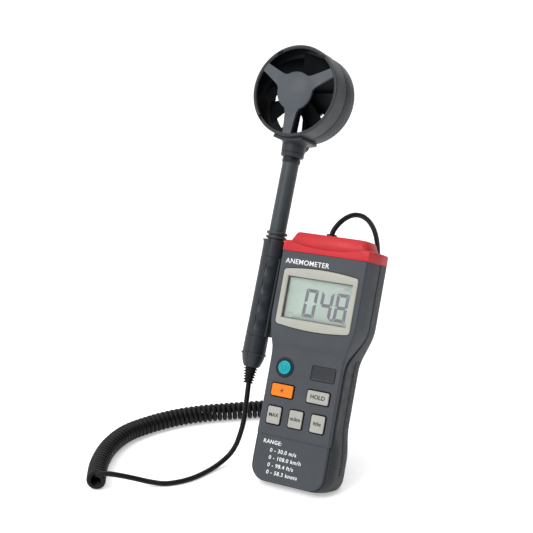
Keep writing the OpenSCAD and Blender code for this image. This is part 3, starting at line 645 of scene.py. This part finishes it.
def rear_rings():
    """Rings from the seam, over its rounded lip, to the rounded back."""
    def rim(dy, low, foot, top):
        return ring(lambda z: (seam_y(z) + dy, mix(mix(low, foot, foot_share(z)), top,
                                                   shoulder_share(z))), low)
    rings = [rim(0.05, 2.9, 4.6, 2.4), rim(0.05, 0.9, 3.1, 0.5), rim(0.25, 0.45, 2.6, 0.15),
             rim(0.7, 0.12, 2.2, 0.0), rim(1.9, 0.0, 1.6, 0.0), rim(3.6, 0.0, 0.8, 0.0),
             rim(5.4, 0.0, 0.25, 0.0), rim(7, 0, 0, 0)]
    for i in range(11):
        a = math.radians(8.8 * i)
        y, dx = CASE_D - BACK_R * (1 - math.sin(a)), BACK_R * (1 - math.cos(a))
        rings.append(ring(lambda z: (y, dx), dx))
    return rings


def mouths():
    """Cutters for the front shell's display, keys and trim."""
    _, cz, w, h, _, seat = front_view("lcd_bezel")
    cutters = [prism("cut", around(rounded(w + 1.1, h + 1.1, 3.1, bulge=ARCH), 0, cz), -2, seat)]
    glass_low, glass_high = local_box("lcd_window")
    cutters.append(block("cut", (glass_low.x - 0.1, -2, glass_low.z - 0.1),
                         (glass_high.x + 0.1, 5, glass_high.z + 0.1)))
    for node in ("light_key", "hold_key", "mode_key", "metric_key", "imperial_key"):
        x, z, w, h, _, _ = front_view(node)
        hole = rounded(w - 2 * KEY_SKIRT + 1.7, h - 2 * KEY_SKIRT + 1.7, 1.8)
        cutters.append(prism("cut", around(hole, x, z), -2, 5))
    x, z, w, _, _, seat = front_view("button_ring")
    r = w / 2
    cutters.append(disc(x, z, r + 0.1, -2, seat, 64))
    cutters.append(disc(x, z, r - BUTTON_RIM + 0.35, -2, 5, 64))
    x, z, w, h, _, seat = front_view("name_plate")
    cutters.append(prism("cut", around(rounded(w + 0.7, h + 0.7, 1.5), x, z), -2, seat))
    return cutters


def add_front():
    front = merge(shell("front_shell", front_rings()), *mouths(), cut=True)
    place(soften(front, 0.28, 50), "case", "case_front", "front_case")


def add_rear():
    """Rear shell with the stand's pocket, the battery room, the door's seat and the heel."""
    rear = shell("rear_shell", rear_rings())
    stand_half = local_box("tilt_stand")[1].x - 2.6 + 0.4
    door_top = local_box("battery_door")[1].z
    battery_low = local_box("battery")[0]
    hinge = CASE.inverted() @ Vector(joints["stand_fold"]["pos_m"])
    turn = CASE.inverted() @ Vector(joints["door_swing"]["pos_m"])
    past = CASE_D + 1
    room_half, door_half = 14.2, 16.3

    def bore(r, half, at):
        return revolve("cut", [(0, -half), (r, -half), (r, half), (0, half)], CASE, "x", at, 32)
    cuts = [
        block("cut", (-stand_half, hinge.y - 2.8, 7), (stand_half, past, hinge.z + 2.8)),
        bore(1.55, 17.1, hinge),
        block("cut", (-room_half, battery_low.y - 0.3, battery_low.z - 1),
              (room_half, past, door_top - 2)),
        block("cut", (-door_half, CASE_D - 2.5, turn.z), (door_half, past, door_top + 0.3)),
        bore(2.1, door_half, turn),
        bore(1.05, 17.9, turn),
        block("cut", (-door_half, turn.y, turn.z - 2.1), (door_half, past, turn.z + 1)),
    ]
    slope = math.tan(math.atan2(-back.z, back.y))
    heel = [(16, 0), (past, (CASE_D - 15) * slope), (past, -2), (16, -2)]
    cuts.append(loft("cut", [[(x, y, z) for y, z in heel] for x in (-40, 40)]))
    for x in (-1, 1):
        for sx, sz in ((LOW_HALF - 9, 22), (TOP_HALF - 9, BODY_H - 8.5)):
            cuts.append(disc(x * sx, sz, 2.8, CASE_D - 6, past, 32))
    merge(rear, *cuts, cut=True)
    place(soften(rear, 0.25, 50), "case", "case_rear", "rear_case")


add_front()
add_rear()


def add_grips():
    """Ribbed strips down the lower sides."""
    low, high = local_box("side_grips")
    rib, samples = 2.0, 6
    rows = int((high.z - low.z) / rib) * samples
    pieces = []
    for side in (-1, 1):
        rings = []
        for i in range(rows + 1):
            z = mix(low.z, high.z, i / rows)
            x = mix(mix(LOW_HALF, WAIST_HALF, 1 - foot_share(z)), TOP_HALF, shoulder_share(z))
            out = 0.05 if i in (0, rows) else 0.28 + 0.38 * math.sin(math.pi * i / samples) ** 2
            rings.append([(side * (x - 0.4), low.y, z), (side * (x + out * 0.3), low.y, z),
                          (side * (x + out), low.y + 0.6, z), (side * (x + out), high.y - 0.6, z),
                          (side * (x + out * 0.3), high.y, z), (side * (x - 0.4), high.y, z)])
        pieces.append(loft("side_grips_ribbed", rings))
    place(join(*pieces), "case", "grip_rubber", "side_grips", sharp=25)


def mirrored(right):
    """The right side's plan followed by its mirror image."""
    return right + [(-x, y) for x, y in reversed(right)]


def cap_outline(inset):
    """Plan of the cap's band, in x and y."""
    half = TOP_HALF - inset
    right = [(half - 3.9, inset), (half - 3.3, inset + 0.25), (half - 2.95, inset + 1.0)]
    right += [(half - 2.95 + 2.95 * t, mix(1.6, 15.5, t) + inset * (1 - t))
              for t in (0.05, 0.5, 0.97)]
    right.append((half, 17))
    for i in range(9):
        a = math.radians(11.25 * i)
        right.append((TOP_HALF - BACK_R + (BACK_R - inset) * math.cos(a),
                      CASE_D - BACK_R + (BACK_R - inset) * math.sin(a)))
    return mirrored(right)


def block_ring(z, grow, front):
    """One ring of the cap's raised block."""
    half = 28.4 + grow
    right = [(half - 5, front), (half - 2.4, front + 0.8), (half - 0.7, front + 3),
             (half, front + 6), (half, 19), (half - 0.8, 22), (half - 3, 24)]
    return [(x, y, z) for x, y in mirrored(right)]


def add_cap():
    """Band with an arc cut in its front edge, and the raised block that starts behind it."""
    low, high = local_box("top_cap")
    base, top = low.z, high.z
    ledge = base + 8
    rings = [[(x, y, z) for x, y in cap_outline(inset)] for z, inset in
             ((base + 0.12, 0.35), (base + 0.35, 0.05), (base + 0.6, 0), (ledge - 1.3, 0.12),
              (ledge - 0.5, 0.4), (ledge - 0.1, 1.0), (ledge, 1.8))]
    band = loft("cap", rings)
    arc_half, arc_rise = 31.5, 4.3
    arc = [(-arc_half + 2 * arc_half * i / 24,
            ledge - 0.1 - arc_rise * (1 - ((i - 12) / 12) ** 2)) for i in range(25)]
    arc = arc + [(arc_half, ledge + 2), (-arc_half, ledge + 2)]
    merge(band, prism("cut", arc, -1, 2.2), cut=True)
    raised = loft("raised", [block_ring(z, grow, front) for z, grow, front in (
        (base + 2.4, 3.9, 2.1), (ledge - 1, 3.9, 2.3), (ledge, 3.6, 2.5), (ledge + 1.5, 2.9, 2.7),
        (top - 1.0, 0.6, 3.6), (top - 0.3, 0.0, 4.1), (top, -0.9, 5.0))])
    gland_low, gland_high = local_box("cable_gland")
    x, y = (gland_low.x + gland_high.x) / 2, (gland_low.y + gland_high.y) / 2
    hole = revolve("cut", [(0, top - 4), (3.4, top - 4), (3.4, top + 1), (0, top + 1)], CASE, "z",
                   (x, y, 0), 40)
    under = loft("cut", [[(a * 0.9, 3 + b * 0.82, z) for a, b in cap_outline(2)]
                         for z in (base - 1, base + 5)])
    merge(band, raised)
    merge(band, hole, under, cut=True)
    place(soften(band, 0.35, 40), "case", "cap_red", "top_cap", sharp=45)


def add_bezel():
    """Frame with an arched top and bottom edge, which slopes down to the window."""
    _, cz, w, h, front, seat = front_view("lcd_bezel")
    _, _, gw, gh, _, _ = front_view("lcd_window")
    gw, gh = gw + 0.3, gh + 0.3

    def outer(inset, y):
        return [(x, y, cz + z)
                for x, z in rounded(w - 2 * inset, h - 2 * inset, 2.6 - inset, bulge=ARCH)]

    def inner(grow, y):
        return [(max(-gw / 2 - grow, min(gw / 2 + grow, x * 1.4)), y,
                 cz + max(-gh / 2 - grow, min(gh / 2 + grow, z * 1.4)))
                for x, z in rounded(w, h, 2.6, bulge=ARCH)]
    rings = [outer(0, seat), outer(0, front + 0.5), outer(0.15, front + 0.18), outer(0.5, front),
             inner(1.0, front + 0.06), inner(0.55, front + 0.25), inner(0.12, front + 0.55),
             inner(0, front + 0.9), inner(0, seat)]
    place(loft("lcd_frame", rings, closed=True), "case", "bezel_cream", "lcd_bezel", sharp=50)


def seven_segments(digit, x, z, w, h, y, thick):
    """Slanted seven-segment digit centred at x and z."""
    g, t, slant = 0.28, 2.4, 0.04
    a, b = w / 2, h / 2
    bars = {
        "a": [(-a + g, b), (a - g, b), (a - t - g, b - t), (-a + t + g, b - t)],
        "g": [(-a + t / 2 + g, t / 2), (-a + t + g / 2, t / 2), (a - t - g / 2, t / 2),
              (a - t / 2 - g, t / 2), (a - t / 2 - g, -t / 2), (a - t - g / 2, -t / 2),
              (-a + t + g / 2, -t / 2), (-a + t / 2 + g, -t / 2)],
        "d": [(-a + g, -b), (-a + t + g, -b + t), (a - t - g, -b + t), (a - g, -b)],
        "f": [(-a, b - g), (-a + t, b - t - g), (-a + t, t / 2 + g / 2), (-a, g)],
        "b": [(a, b - g), (a, g), (a - t, t / 2 + g / 2), (a - t, b - t - g)],
        "e": [(-a, -b + g), (-a, -g), (-a + t, -t / 2 - g / 2), (-a + t, -b + t + g)],
        "c": [(a, -b + g), (a - t, -b + t + g), (a - t, -t / 2 - g / 2), (a, -g)],
    }
    lit = {"0": "abcdef", "4": "fgbc", "8": "abcdefg"}[digit]
    return [prism("bar", [(x + px + slant * pz, z + pz) for px, pz in bars[s]], y - thick, y)
            for s in lit]


def add_reading():
    _, cz, _, _, face, _ = front_view("lcd_panel")
    thick = 0.04
    digit_w, digit_h = 9.8, 20.4
    bars = []
    for digit, x in (("0", -6.2), ("4", 6.4), ("8", 18.4)):
        bars += seven_segments(digit, x, cz - 2.2, digit_w, digit_h, face, thick)
    point = around(rounded(1.7, 1.7, 0.4, 3), 12.2, cz - 11.6)
    bars.append(prism("dot", point, face - thick, face))
    place(join(*bars), "case", "lcd_ink").name = "lcd_reading"
    lettering("lcd_unit_mark", "m/s", 20.5, cz + 11.6, 3.0, face - 0.02, "lcd_faint")
    lettering("lcd_low_mark", "AVG", -20.5, cz - 11.4, 2.4, face - 0.02, "lcd_faint")


def lettering(name, words, x, z, size, y, finish, body="case", align="CENTER", bold=0.0,
              spacing=1.0, slant=0.0):
    """Flat printed lettering, as a mesh."""
    data = bpy.data.curves.new(name, "FONT")
    data.body = words
    data.size = size
    data.align_x = align
    data.align_y = "CENTER"
    data.offset = bold
    data.shear = slant
    data.space_character = spacing
    data.extrude = 0.012
    data.resolution_u = 3
    made = linked(name, data)
    upright = Matrix(((1, 0, 0, x), (0, 0, 1, y), (0, 1, 0, z), (0, 0, 0, 1)))
    bpy.context.view_layer.update()
    shown = made.evaluated_get(bpy.context.evaluated_depsgraph_get())
    mesh = bpy.data.meshes.new_from_object(shown)
    bpy.data.objects.remove(made)
    mesh.transform(CASE @ upright)
    mesh.materials.clear()
    made = linked(name, mesh)
    made.data.materials.append(mats[finish])
    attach(made, body)
    return made


def add_gasket():
    """Dark walls of the well behind the window."""
    _, cz, w, h, _, behind = front_view("lcd_window")
    y0, y1 = behind + 0.02, local_box("lcd_panel")[0].y - 0.02

    def walls(grow, y):
        return [(a * w / 2 + a * grow, y, cz + (b * h / 2 + b * grow))
                for a, b in ((1, 1), (-1, 1), (-1, -1), (1, -1))]
    rings = [walls(0.02, y0), walls(-0.3, y0), walls(-0.3, y1), walls(0.02, y1)]
    place(loft("lcd_gasket", rings, closed=True), "case", "well_black_and_painted_shade")


def add_key(node, finish, words):
    """Key cap with a skirt behind the face, and its legend. No words means the lamp mark."""
    cx, cz, w, h, top, foot = front_view(node)
    w, h, lip = w - 2 * KEY_SKIRT, h - 2 * KEY_SKIRT, foot - 0.8

    def at(grow, y):
        corner = 1.2 + min(grow, 0) * 0.8
        return [(cx + x, y, cz + z) for x, z in rounded(w + 2 * grow, h + 2 * grow, corner, 5)]
    rings = [at(KEY_SKIRT, foot), at(KEY_SKIRT, lip), at(0, lip), at(0, PAD_Y),
             at(-0.05, top + 0.55), at(-0.2, top + 0.2), at(-0.5, top + 0.03), at(-0.8, top)]
    key = place(loft(node + "_cap", rings), node, finish, node, sharp=60)
    # Painted shade: the key's sides and skirt, below its top, get a near-black material so that the key looks
    # ringed by the gap's shadow.
    shade(key, "well_black_and_painted_shade", lambda p: p.y > top + 0.42)
    if words:
        lettering(node + "_legend", words, cx, cz, 4.2 if node == "hold_key" else 3.6, top - 0.02,
                  "print_dark", body=node, bold=0.1)
    else:
        add_light_mark(cx, cz, top, node)


def add_power_button():
    cx, cz, w, _, top, foot = front_view("power_button")
    r, lip = w / 2 - KEY_SKIRT, foot - 0.8
    profile = [(0, top + 0.02), (3.1, top + 0.02), (3.3, top + 0.3), (3.6, top + 0.3),
               (3.8, top + 0.02), (r - 0.5, top + 0.02), (r - 0.15, top + 0.15), (r, top + 0.6),
               (r, lip), (r + KEY_SKIRT, lip), (r + KEY_SKIRT, foot), (0, foot)]
    place(revolve("power_button_cap", profile, CASE, "y", (cx, 0, cz)), "power_button", "key_teal",
          "power_button", sharp=50)
    mark_r, mark_in, half = 2.1, 0.76, 0.25
    strokes = [[(cx - half, cz - 0.2), (cx + half, cz - 0.2), (cx + half, cz + 1.5),
                (cx - half, cz + 1.5)]]
    arc = [(mark_r * math.sin(math.radians(a)), mark_r * math.cos(math.radians(a)))
           for a in range(35, 326, 15)]
    for (ax, az), (bx, bz) in zip(arc, arc[1:]):
        strokes.append([(cx + ax, cz + az), (cx + ax * mark_in, cz + az * mark_in),
                        (cx + bx * mark_in, cz + bz * mark_in), (cx + bx, cz + bz)])
    mark = [prism("stroke", stroke, top - 0.03, top + 0.3) for stroke in strokes]
    place(join(*mark), "power_button", "legend_teal").name = "power_mark"
    cx, cz, w, _, y0, y1 = front_view("button_ring")
    r = w / 2
    inner = r - 2
    profile = [(inner, y1), (inner, y0 + 0.3), (inner + 0.2, y0 + 0.08), (inner + 0.6, y0),
               (r - 0.6, y0), (r - 0.15, y0 + 0.12), (r, y0 + 0.4), (r, y1)]
    place(revolve("button_surround", profile, CASE, "y", (cx, 0, cz)), "case", "black_plastic",
          "button_ring", sharp=50)


def add_light_mark(cx, cz, top, node):
    """Small lamp mark: a dot with short rays."""
    bits = [disc(cx, cz, 0.8, top - 0.03, top + 0.02, 20)]
    for i in range(8):
        a = math.radians(45 * i)
        ux, uz = math.cos(a), math.sin(a)
        bits.append(prism("ray", [(cx + ux * r + uz * s * 0.1, cz + uz * r - ux * s * 0.1)
                                  for r, s in ((1.1, -1.6), (1.8, -1.6), (1.8, 1.6), (1.1, 1.6))],
                          top - 0.03, top + 0.02))
    place(join(*bits), node, "print_dark").name = "light_mark"


def add_plate():
    cx, cz, w, h, front, seat = front_view("name_plate")

    def at(inset, y):
        return [(cx + x, y, cz + z) for x, z in rounded(w - 2 * inset, h - 2 * inset, 1.2)]
    rings = [at(0, seat), at(0, front + 0.35), at(0.12, front + 0.1), at(0.4, front),
             at(0.95, front), at(1.1, front + 0.16), at(1.3, front + 0.18)]
    place(loft("blank_plate", rings), "case", "plate_plastic", "name_plate", sharp=50)


def add_print():
    """White print: what the instrument measures, and its range in common units."""
    lettering("title_print", "ANEMOMETER", bezel_low.x - 0.2, bezel_high.z + 3.4, 5.1, -0.03,
              "print_white", align="LEFT", bold=0.02, spacing=1.07)
    rows = [("RANGE:", -23, 28.6), ("0 - 30.0 m/s", -16.6, 23.0), ("0 - 108.0 km/h", -16.6, 17.8),
            ("0 - 98.4 ft/s", -16.6, 12.6), ("0 - 58.3 knots", -16.6, 7.4)]
    for i, (words, x, z) in enumerate(rows):
        lettering("range_print_%d" % i, words, x, z, 3.9, PANEL_Y - 0.03, "print_white",
                  align="LEFT", bold=0.045, spacing=1.12, slant=0.06)


add_grips()
add_cap()
add_bezel()
add_reading()
add_gasket()
for key_look in (("light_key", "key_orange", ""), ("hold_key", "key_cream", "HOLD"),
                 ("mode_key", "key_cream", "MAX"), ("metric_key", "key_cream", "m/km"),
                 ("imperial_key", "key_cream", "ft/kt")):
    add_key(*key_look)
add_power_button()
add_plate()
add_print()

# Wand ------------------------------------------------------
ring_low, ring_high = local_box("head_ring_front", WAND)
RING_R = ring_high.x
RING_IN = RING_R - 2
RING_SIDES = 160
STEM_SEAT = 6.25
RING_FRONT, RING_SEAM = ring_low.y, ring_high.y
RING_BACK = local_box("head_ring_rear", WAND)[1].y


def wand_part(name, profile, finish, node, sides=72, sharp=40):
    """Turned part about the wand's stem."""
    place(revolve(name, profile, WAND, sides=sides), "wand", finish, node, sharp=sharp)


def turned(degrees):
    """The wand's frame turned about the head's axis."""
    return WAND @ Matrix.Rotation(math.radians(degrees), 4, "Y")


def add_head():
    """Front ring with its groove at the seam and three rim notches, and the rear ring."""
    r, i, y0, y1 = RING_R, RING_IN, RING_FRONT, RING_SEAM
    front = revolve("head_front", [
        (i, y1 - 0.02), (i, y0 + 1.7), (i - 0.45, y0 + 1.5), (i - 0.55, y0 + 0.9),
        (i - 0.3, y0 + 0.45), (i + 0.2, y0 + 0.15), (i + 0.7, y0), (r - 0.7, y0),
        (r - 0.2, y0 + 0.2), (r - 0.02, y0 + 0.6), (r, y0 + 1.4), (r, y1 - 1.2),
        (r - 0.1, y1 - 1.1), (r - 0.9, y1 - 1.05), (r - 0.9, y1 - 0.02)],
        WAND, "y", sides=RING_SIDES)
    notches = [block("cut", (-2.4, y0 - 1, i - 2), (2.4, y0 + 2.2, i + 1.1), turned(degrees))
               for degrees in (327, 36, 227)]
    merge(front, *notches, cut=True)
    place(front, "wand", "head_plastic", "head_ring_front", sharp=40)
    # Painted shade: the bore's inside and the seam groove's faces get a near-black material that stands in for the
    # shadow inside the ring.
    shade(front, "bore_painted_shade", lambda p: math.hypot(p.x, p.z) < i + 0.1 and p.y > y0 + 1.6
          or p.y > y1 - 1.15, WAND)
    o = r - 0.25
    rear = revolve("head_rear", [
        (i, y1 + 0.02), (i, RING_BACK - 0.4), (i + 0.3, RING_BACK - 0.05), (i + 0.6, RING_BACK),
        (o - 0.5, RING_BACK), (o - 0.1, RING_BACK - 0.25), (o, RING_BACK - 0.7), (o, y1 + 0.5),
        (o - 0.15, y1 + 0.1), (o - 0.5, y1 + 0.02)], WAND, "y", sides=RING_SIDES)
    place(rear, "wand", "head_plastic", "head_ring_rear", sharp=40)
    # Painted shade on the rear ring's bore as well.
    shade(rear, "bore_painted_shade", lambda p: math.hypot(p.x, p.z) < i + 0.1, WAND)


def spoke(turn, y0, y1, reach):
    """Tapered spoke that flares where it leaves the disc."""
    half = [(6.6, 12.2), (5.3, 14.4), (4.8, 15.6), (4.5, 18), (3.9, 24), (3.3, reach)]
    outline = [(x, -z) for x, z in half] + [(-x, -z) for x, z in reversed(half)]
    return prism("spoke", outline, y0, y1, turned(turn))


def add_spider(node, direction, face, name):
    """Disc with three spokes. Direction is 1 where its inside lies behind it, and -1 in front."""
    def inward(distance):
        return face + direction * distance
    plate = inward(2.5)
    boss = plate + direction * 4
    profile = [(0, inward(0.35)), (14.0, inward(0.35)), (14.3, inward(0.6)), (14.3, plate),
               (4, plate), (3.8, boss), (1.2, boss), (1.2, boss - direction * 0.6),
               (0, boss - direction * 0.6)]
    spider = revolve(name, profile, WAND, "y", sides=96)
    first = inward(0.4)
    for turn in (0, 120, 240):
        merge(spider, spoke(turn, min(first, plate), max(first, plate), RING_IN - 0.12))
    place(soften(spider, 0.35, 40), "wand", "spider_plastic", node, sharp=40)


def blade(count, number):
    """One twisted, cambered blade, whose tip follows the duct's curve."""
    root_r, tip_r = 7.6, 30.8
    rows, cols = 9, 7
    rings = []
    for i in range(rows):
        s = i / (rows - 1)
        z = mix(root_r, tip_r, s)
        chord = mix(10, 23, s)
        pitch = math.radians(mix(32, 27, s))
        upper, lower = [], []
        for k in range(cols):
            u = k / (cols - 1) - 0.5
            camber = 0.9 * (1 - 4 * u * u) * (0.4 + 0.6 * s)
            thick = 0.42 * math.sqrt(max(0.04, 1 - (2 * u) ** 2))
            for line, t in ((upper, camber + thick), (lower, camber - thick)):
                x = u * chord * math.cos(pitch) - t * math.sin(pitch)
                y = u * chord * math.sin(pitch) + t * math.cos(pitch)
                line.append((x, y, math.sqrt(z * z - (x * s) ** 2)))
        rings.append(upper + lower[::-1])
    turn = Matrix.Rotation(math.radians(-360 * (number + 0.3) / count), 4, "Y").inverted()
    return loft("vane_blades", rings, WAND @ turn)


def add_rotor():
    hub_low, hub_high = local_box("rotor_hub", WAND)
    y0, y1 = hub_low.y, hub_high.y
    profile = [(1, y0 + 0.9), (2.4, y0), (6.2, y0), (7.4, y0 + 0.5), (8, y0 + 1.6), (8, y1 - 0.8),
               (7.6, y1 - 0.2), (7, y1), (1, y1)]
    hub = revolve("vane_hub", profile, WAND, "y", sides=64)
    place(hub, "rotor", "rotor_plastic", "rotor_hub", sharp=40)
    count = 8
    place(join(*[blade(count, b) for b in range(count)]), "rotor", "rotor_plastic", "rotor_blades",
          sharp=50)


def sector(name, r0, r1, y0, y1, a0, a1, steps=24):
    """Part of a ring about the head's axis, with angles from straight down."""
    rings = []
    for k in range(steps + 1):
        a = math.radians(mix(a0, a1, k / steps))
        rings.append([(r * math.sin(a), y, -r * math.cos(a))
                      for r, y in ((r0, y0), (r1, y0), (r1, y1), (r0, y1))])
    return loft(name, rings, WAND)


def add_saddle():
    """Cradle under the ring with its foot and screw lug, and the collar and ring below it."""
    low, high = local_box("head_saddle", WAND)
    fit = RING_R + 0.02
    cradle = sector("saddle", fit, RING_R + 2.6, low.y, high.y - 2.6, -19, 19)
    circle = [(math.cos(math.radians(a)), math.sin(math.radians(a))) for a in range(0, 360, 12)]
    foot = loft("foot", [[(x * w, y * d, z) for x, y in circle]
                         for z, w, d in ((low.z + 2.0, 9.1, 9.1), (-RING_R - 1.6, 9.8, 10.5),
                                         (-RING_R - 0.3, 10.6, 12.0), (-RING_R + 1.2, 10.9, 12.6))],
                WAND)
    ring_cut = revolve("cut", [(0, low.y - 2), (fit, low.y - 2), (fit, high.y + 2),
                               (0, high.y + 2)], WAND, "y", sides=RING_SIDES)
    lug = revolve("lug", [(0, high.y - 3.6), (4.6, high.y - 3.6), (4.6, high.y - 0.3),
                          (4.2, high.y), (0, high.y)], WAND, "y", (0, 0, -RING_R - 1.6), 40)
    merge(cradle, foot, lug)
    merge(cradle, ring_cut, cut=True)
    place(soften(cradle, 0.4, 40), "wand", "head_plastic", "head_saddle", sharp=40)
    low, high = local_box("neck_collar", WAND)
    z0, z1, s = low.z, high.z, STEM_SEAT
    wand_part("neck", [(s, z0), (7.9, z0), (8.4, z0 + 0.25), (8.55, z0 + 0.8), (8.7, z0 + 2.8),
                       (8.25, z0 + 3.0), (8.25, z0 + 3.4), (8.75, z0 + 3.6), (9.1, z1 - 0.3),
                       (9.1, z1), (0, z1), (0, z0 + 6), (s, z0 + 6)],
              "head_plastic", "neck_collar")
    low, high = local_box("neck_ring", WAND)
    z0, z1 = low.z, high.z
    wand_part("neck_band", [(s, z0), (6.6, z0), (6.85, z0 + 0.3), (6.85, z1 - 1.4),
                            (6.5, z1 - 1.2), (6.5, z1 - 0.6), (6.85, z1 - 0.4), (6.85, z1),
                            (s, z1)], "black_plastic", "neck_ring")


def add_stem():
    low, high = local_box("stem_tube", WAND)
    r = high.x
    inner = r - 1.2
    profile = [(r, low.z), (r, high.z - 0.2), (r - 0.2, high.z), (0, high.z), (0, high.z - 2),
               (inner, high.z - 2), (inner, low.z)]
    wand_part("stem", profile, "stem_plastic", "stem_tube", 80)
    low, high = local_box("stem_rings", WAND)
    s = STEM_SEAT
    bands = [revolve("stem_bands", [(s, z), (7.4, z), (7.8, z + 0.4), (7.85, z + 1), (7.8, z + 1.6),
                                    (7.4, z + 2), (s, z + 2)], WAND, sides=72)
             for z in (low.z, high.z - 2)]
    place(join(*bands), "wand", "stem_plastic", "stem_rings", sharp=40)


def add_handle():
    """Two half shells: the right one has finger scallops, and both end in a bell."""
    low, high = local_box("handle_left", WAND)
    bottom, top = low.z, high.z
    band_top, band_low, flange = top - 12.6, top - 71.4, top - 84.9
    base, end_r = 8.6, 5.2
    grooves = [mix(band_top - 8, band_low + 10, t / 3) for t in range(4)]

    def radius(z, degrees, right):
        r = base
        if z > top - 4:
            r += (0.1 if right else 1.15) * ((z - top + 4) / 4) ** 2
        for line in (band_top, band_low):
            r -= 0.42 * max(0, 1 - abs(z - line) / 0.5)
        if z < flange - 0.8:
            share = (flange - 0.8 - z) / (flange - 0.8 - bottom)
            bell = 1 - math.sqrt(max(0, 1 - share ** 2.2))
            r = mix(base - 0.1, end_r, 0.6 * share ** 1.3 + 0.4 * bell)
        if abs(z - flange) < 0.75:
            r += 0.95 * max(0, 1 - abs(z - flange) / 0.75) ** 0.35
        if band_low + 2 < z < band_top - 2:
            inside = ease((z - band_low - 2) / 5) * ease((band_top - 2 - z) / 5)
            toward = max(0, math.cos(math.radians((degrees + 42) * 1.35)))
            dent = sum(max(0, 1 - ((z - g) / 6.2) ** 2) ** 1.5 for g in grooves)
            r -= (0.1 + 1.6 * dent) * inside * toward if right else 0.12 * inside
        return r

    zs = {round(mix(bottom, top, i / 120), 3) for i in range(121)}
    for heights, offsets in (((band_top, band_low), (-0.55, -0.5, -0.2, 0.0, 0.2, 0.5, 0.55)),
                             ((flange,), (-0.8, -0.74, -0.6, -0.3, 0, 0.3, 0.6, 0.74, 0.8)),
                             ((top,), (-0.1, -0.35, -1, -2, -3))):
        zs |= {round(height + d, 3) for height in heights for d in offsets}
    arc = 36
    for node, right in (("handle_left", False), ("handle_right", True)):
        start, end = (-89.4, 89.4) if right else (90.6, 269.4)
        rings = []
        for z in sorted(zs):
            outer, inner = [], []
            for k in range(arc + 1):
                d = mix(start, end, k / arc)
                a = math.radians(d)
                edge = min(1, (k + 0.001) / 1.0, (arc - k + 0.001) / 1.0)
                r = radius(z, d if d < 180 else d - 360, right) - 0.12 * (1 - edge)
                if z > top - 0.4:
                    r -= 0.25 * (z - top + 0.4) / 0.4
                hollow = 6.3 if z > top - 6 else max(3.1, min(6.8, r - 1.8))
                outer.append((r * math.cos(a), r * math.sin(a), z))
                inner.append((hollow * math.cos(a), hollow * math.sin(a), z))
            rings.append(outer + inner[::-1])
        place(loft(node + "_grip", rings, WAND), "wand", "handle_plastic", node, sharp=42)


def add_boot():
    """Ribbed strain relief that tapers on to the lead."""
    end = local_box("strain_relief", WAND)[0].z
    start = local_box("handle_left", WAND)[0].z
    wire, seat = 1.95, 2.95
    profile = [(wire, end), (3.0, end), (3.35, end + 0.25)]
    ribs = 6
    pitch = (start - end) / ribs
    for i in range(ribs):
        z = end + i * pitch
        r = mix(3.5, 5.1, (i + 0.5) / ribs)
        profile += [(r + grow, z + pitch * share) for grow, share in (
            (0, 0.12), (0.08, 0.3), (0, 0.5), (-0.95, 0.62), (-0.95, 0.95))]
    profile += [(4.0, start - 0.1), (seat, start), (seat, start + 2.0), (wire, start + 2.0)]
    wand_part("boot", profile, "black_rubber", "strain_relief", 60, 60)


add_head()
add_spider("front_spider", 1, RING_FRONT, "spider_front")
add_spider("rear_spider", -1, RING_BACK, "spider_rear")
add_rotor()
add_saddle()
add_stem()
add_handle()
add_boot()


# CAD nodes that keep their shape ---------------------------
def dress():
    """Gives every CAD node still showing its material, and small round edges."""
    slots = {p["node"]: p["material_slot"] for p in frame["record"]["subparts"]}
    for name, node in frame["nodes"].items():
        if node.hide_render:
            continue
        node.data.materials.clear()
        node.data.materials.append(mats[slots[name]])
        weld = node.modifiers.new("weld", "WELD")
        weld.merge_threshold = 1e-6
        edge = node.modifiers.new("edge", "BEVEL")
        edge.width = 0.18 * MM
        edge.segments = 2
        edge.limit_method = "ANGLE"
        edge.angle_limit = math.radians(45)


dress()


# Stage -----------------------------------------------------
def add_stage():
    """White floor, white surroundings that darken to the right, and two soft lights."""
    s = 6
    mesh = bpy.data.meshes.new("floor")
    mesh.from_pydata([(-s, -s, 0), (s, -s, 0), (s, s, 0), (-s, s, 0)], [], [(0, 1, 2, 3)])
    floor = linked("floor", mesh)
    paper = material("floor", (0.88, 0.88, 0.885), 0.8, mottle=0.004, depth=0.01)
    glow = paper.node_tree.nodes["Principled BSDF"].inputs
    fill(glow, {"Emission Color": (1, 1, 1, 1), "Emission Strength": 0.4})
    floor.data.materials.append(paper)
    world = bpy.data.worlds.new("studio")
    scene.world = world
    world.use_nodes = True
    nodes, links = world.node_tree.nodes, world.node_tree.links
    nodes["Background"].inputs[0].default_value = (1, 1, 1, 1)
    split = nodes.new("ShaderNodeSeparateXYZ")
    links.new(nodes.new("ShaderNodeTexCoord").outputs["Generated"], split.inputs["Vector"])
    fall = nodes.new("ShaderNodeMapRange")
    fall.interpolation_type = "SMOOTHSTEP"
    fill(fall.inputs, {"From Min": 0.0, "From Max": 0.75, "To Min": 1.0, "To Max": 0.12})
    links.new(split.outputs["X"], fall.inputs["Value"])
    links.new(fall.outputs["Result"], nodes["Background"].inputs[1])
    for name, spot, size, power in (("key", (-0.45, -1.3, 1.5), 0.9, 18),
                                    ("top", (0.1, 0.6, 1.9), 1.2, 8)):
        data = bpy.data.lights.new(name, "AREA")
        data.size = size
        data.energy = power
        light = linked(name, data)
        light.location = spot
        light.rotation_mode = "QUATERNION"
        light.rotation_quaternion = (Vector((0, 0, 0.12)) - Vector(spot)).to_track_quat("-Z", "Y")
    scene.view_settings.view_transform = "Standard"


add_stage()
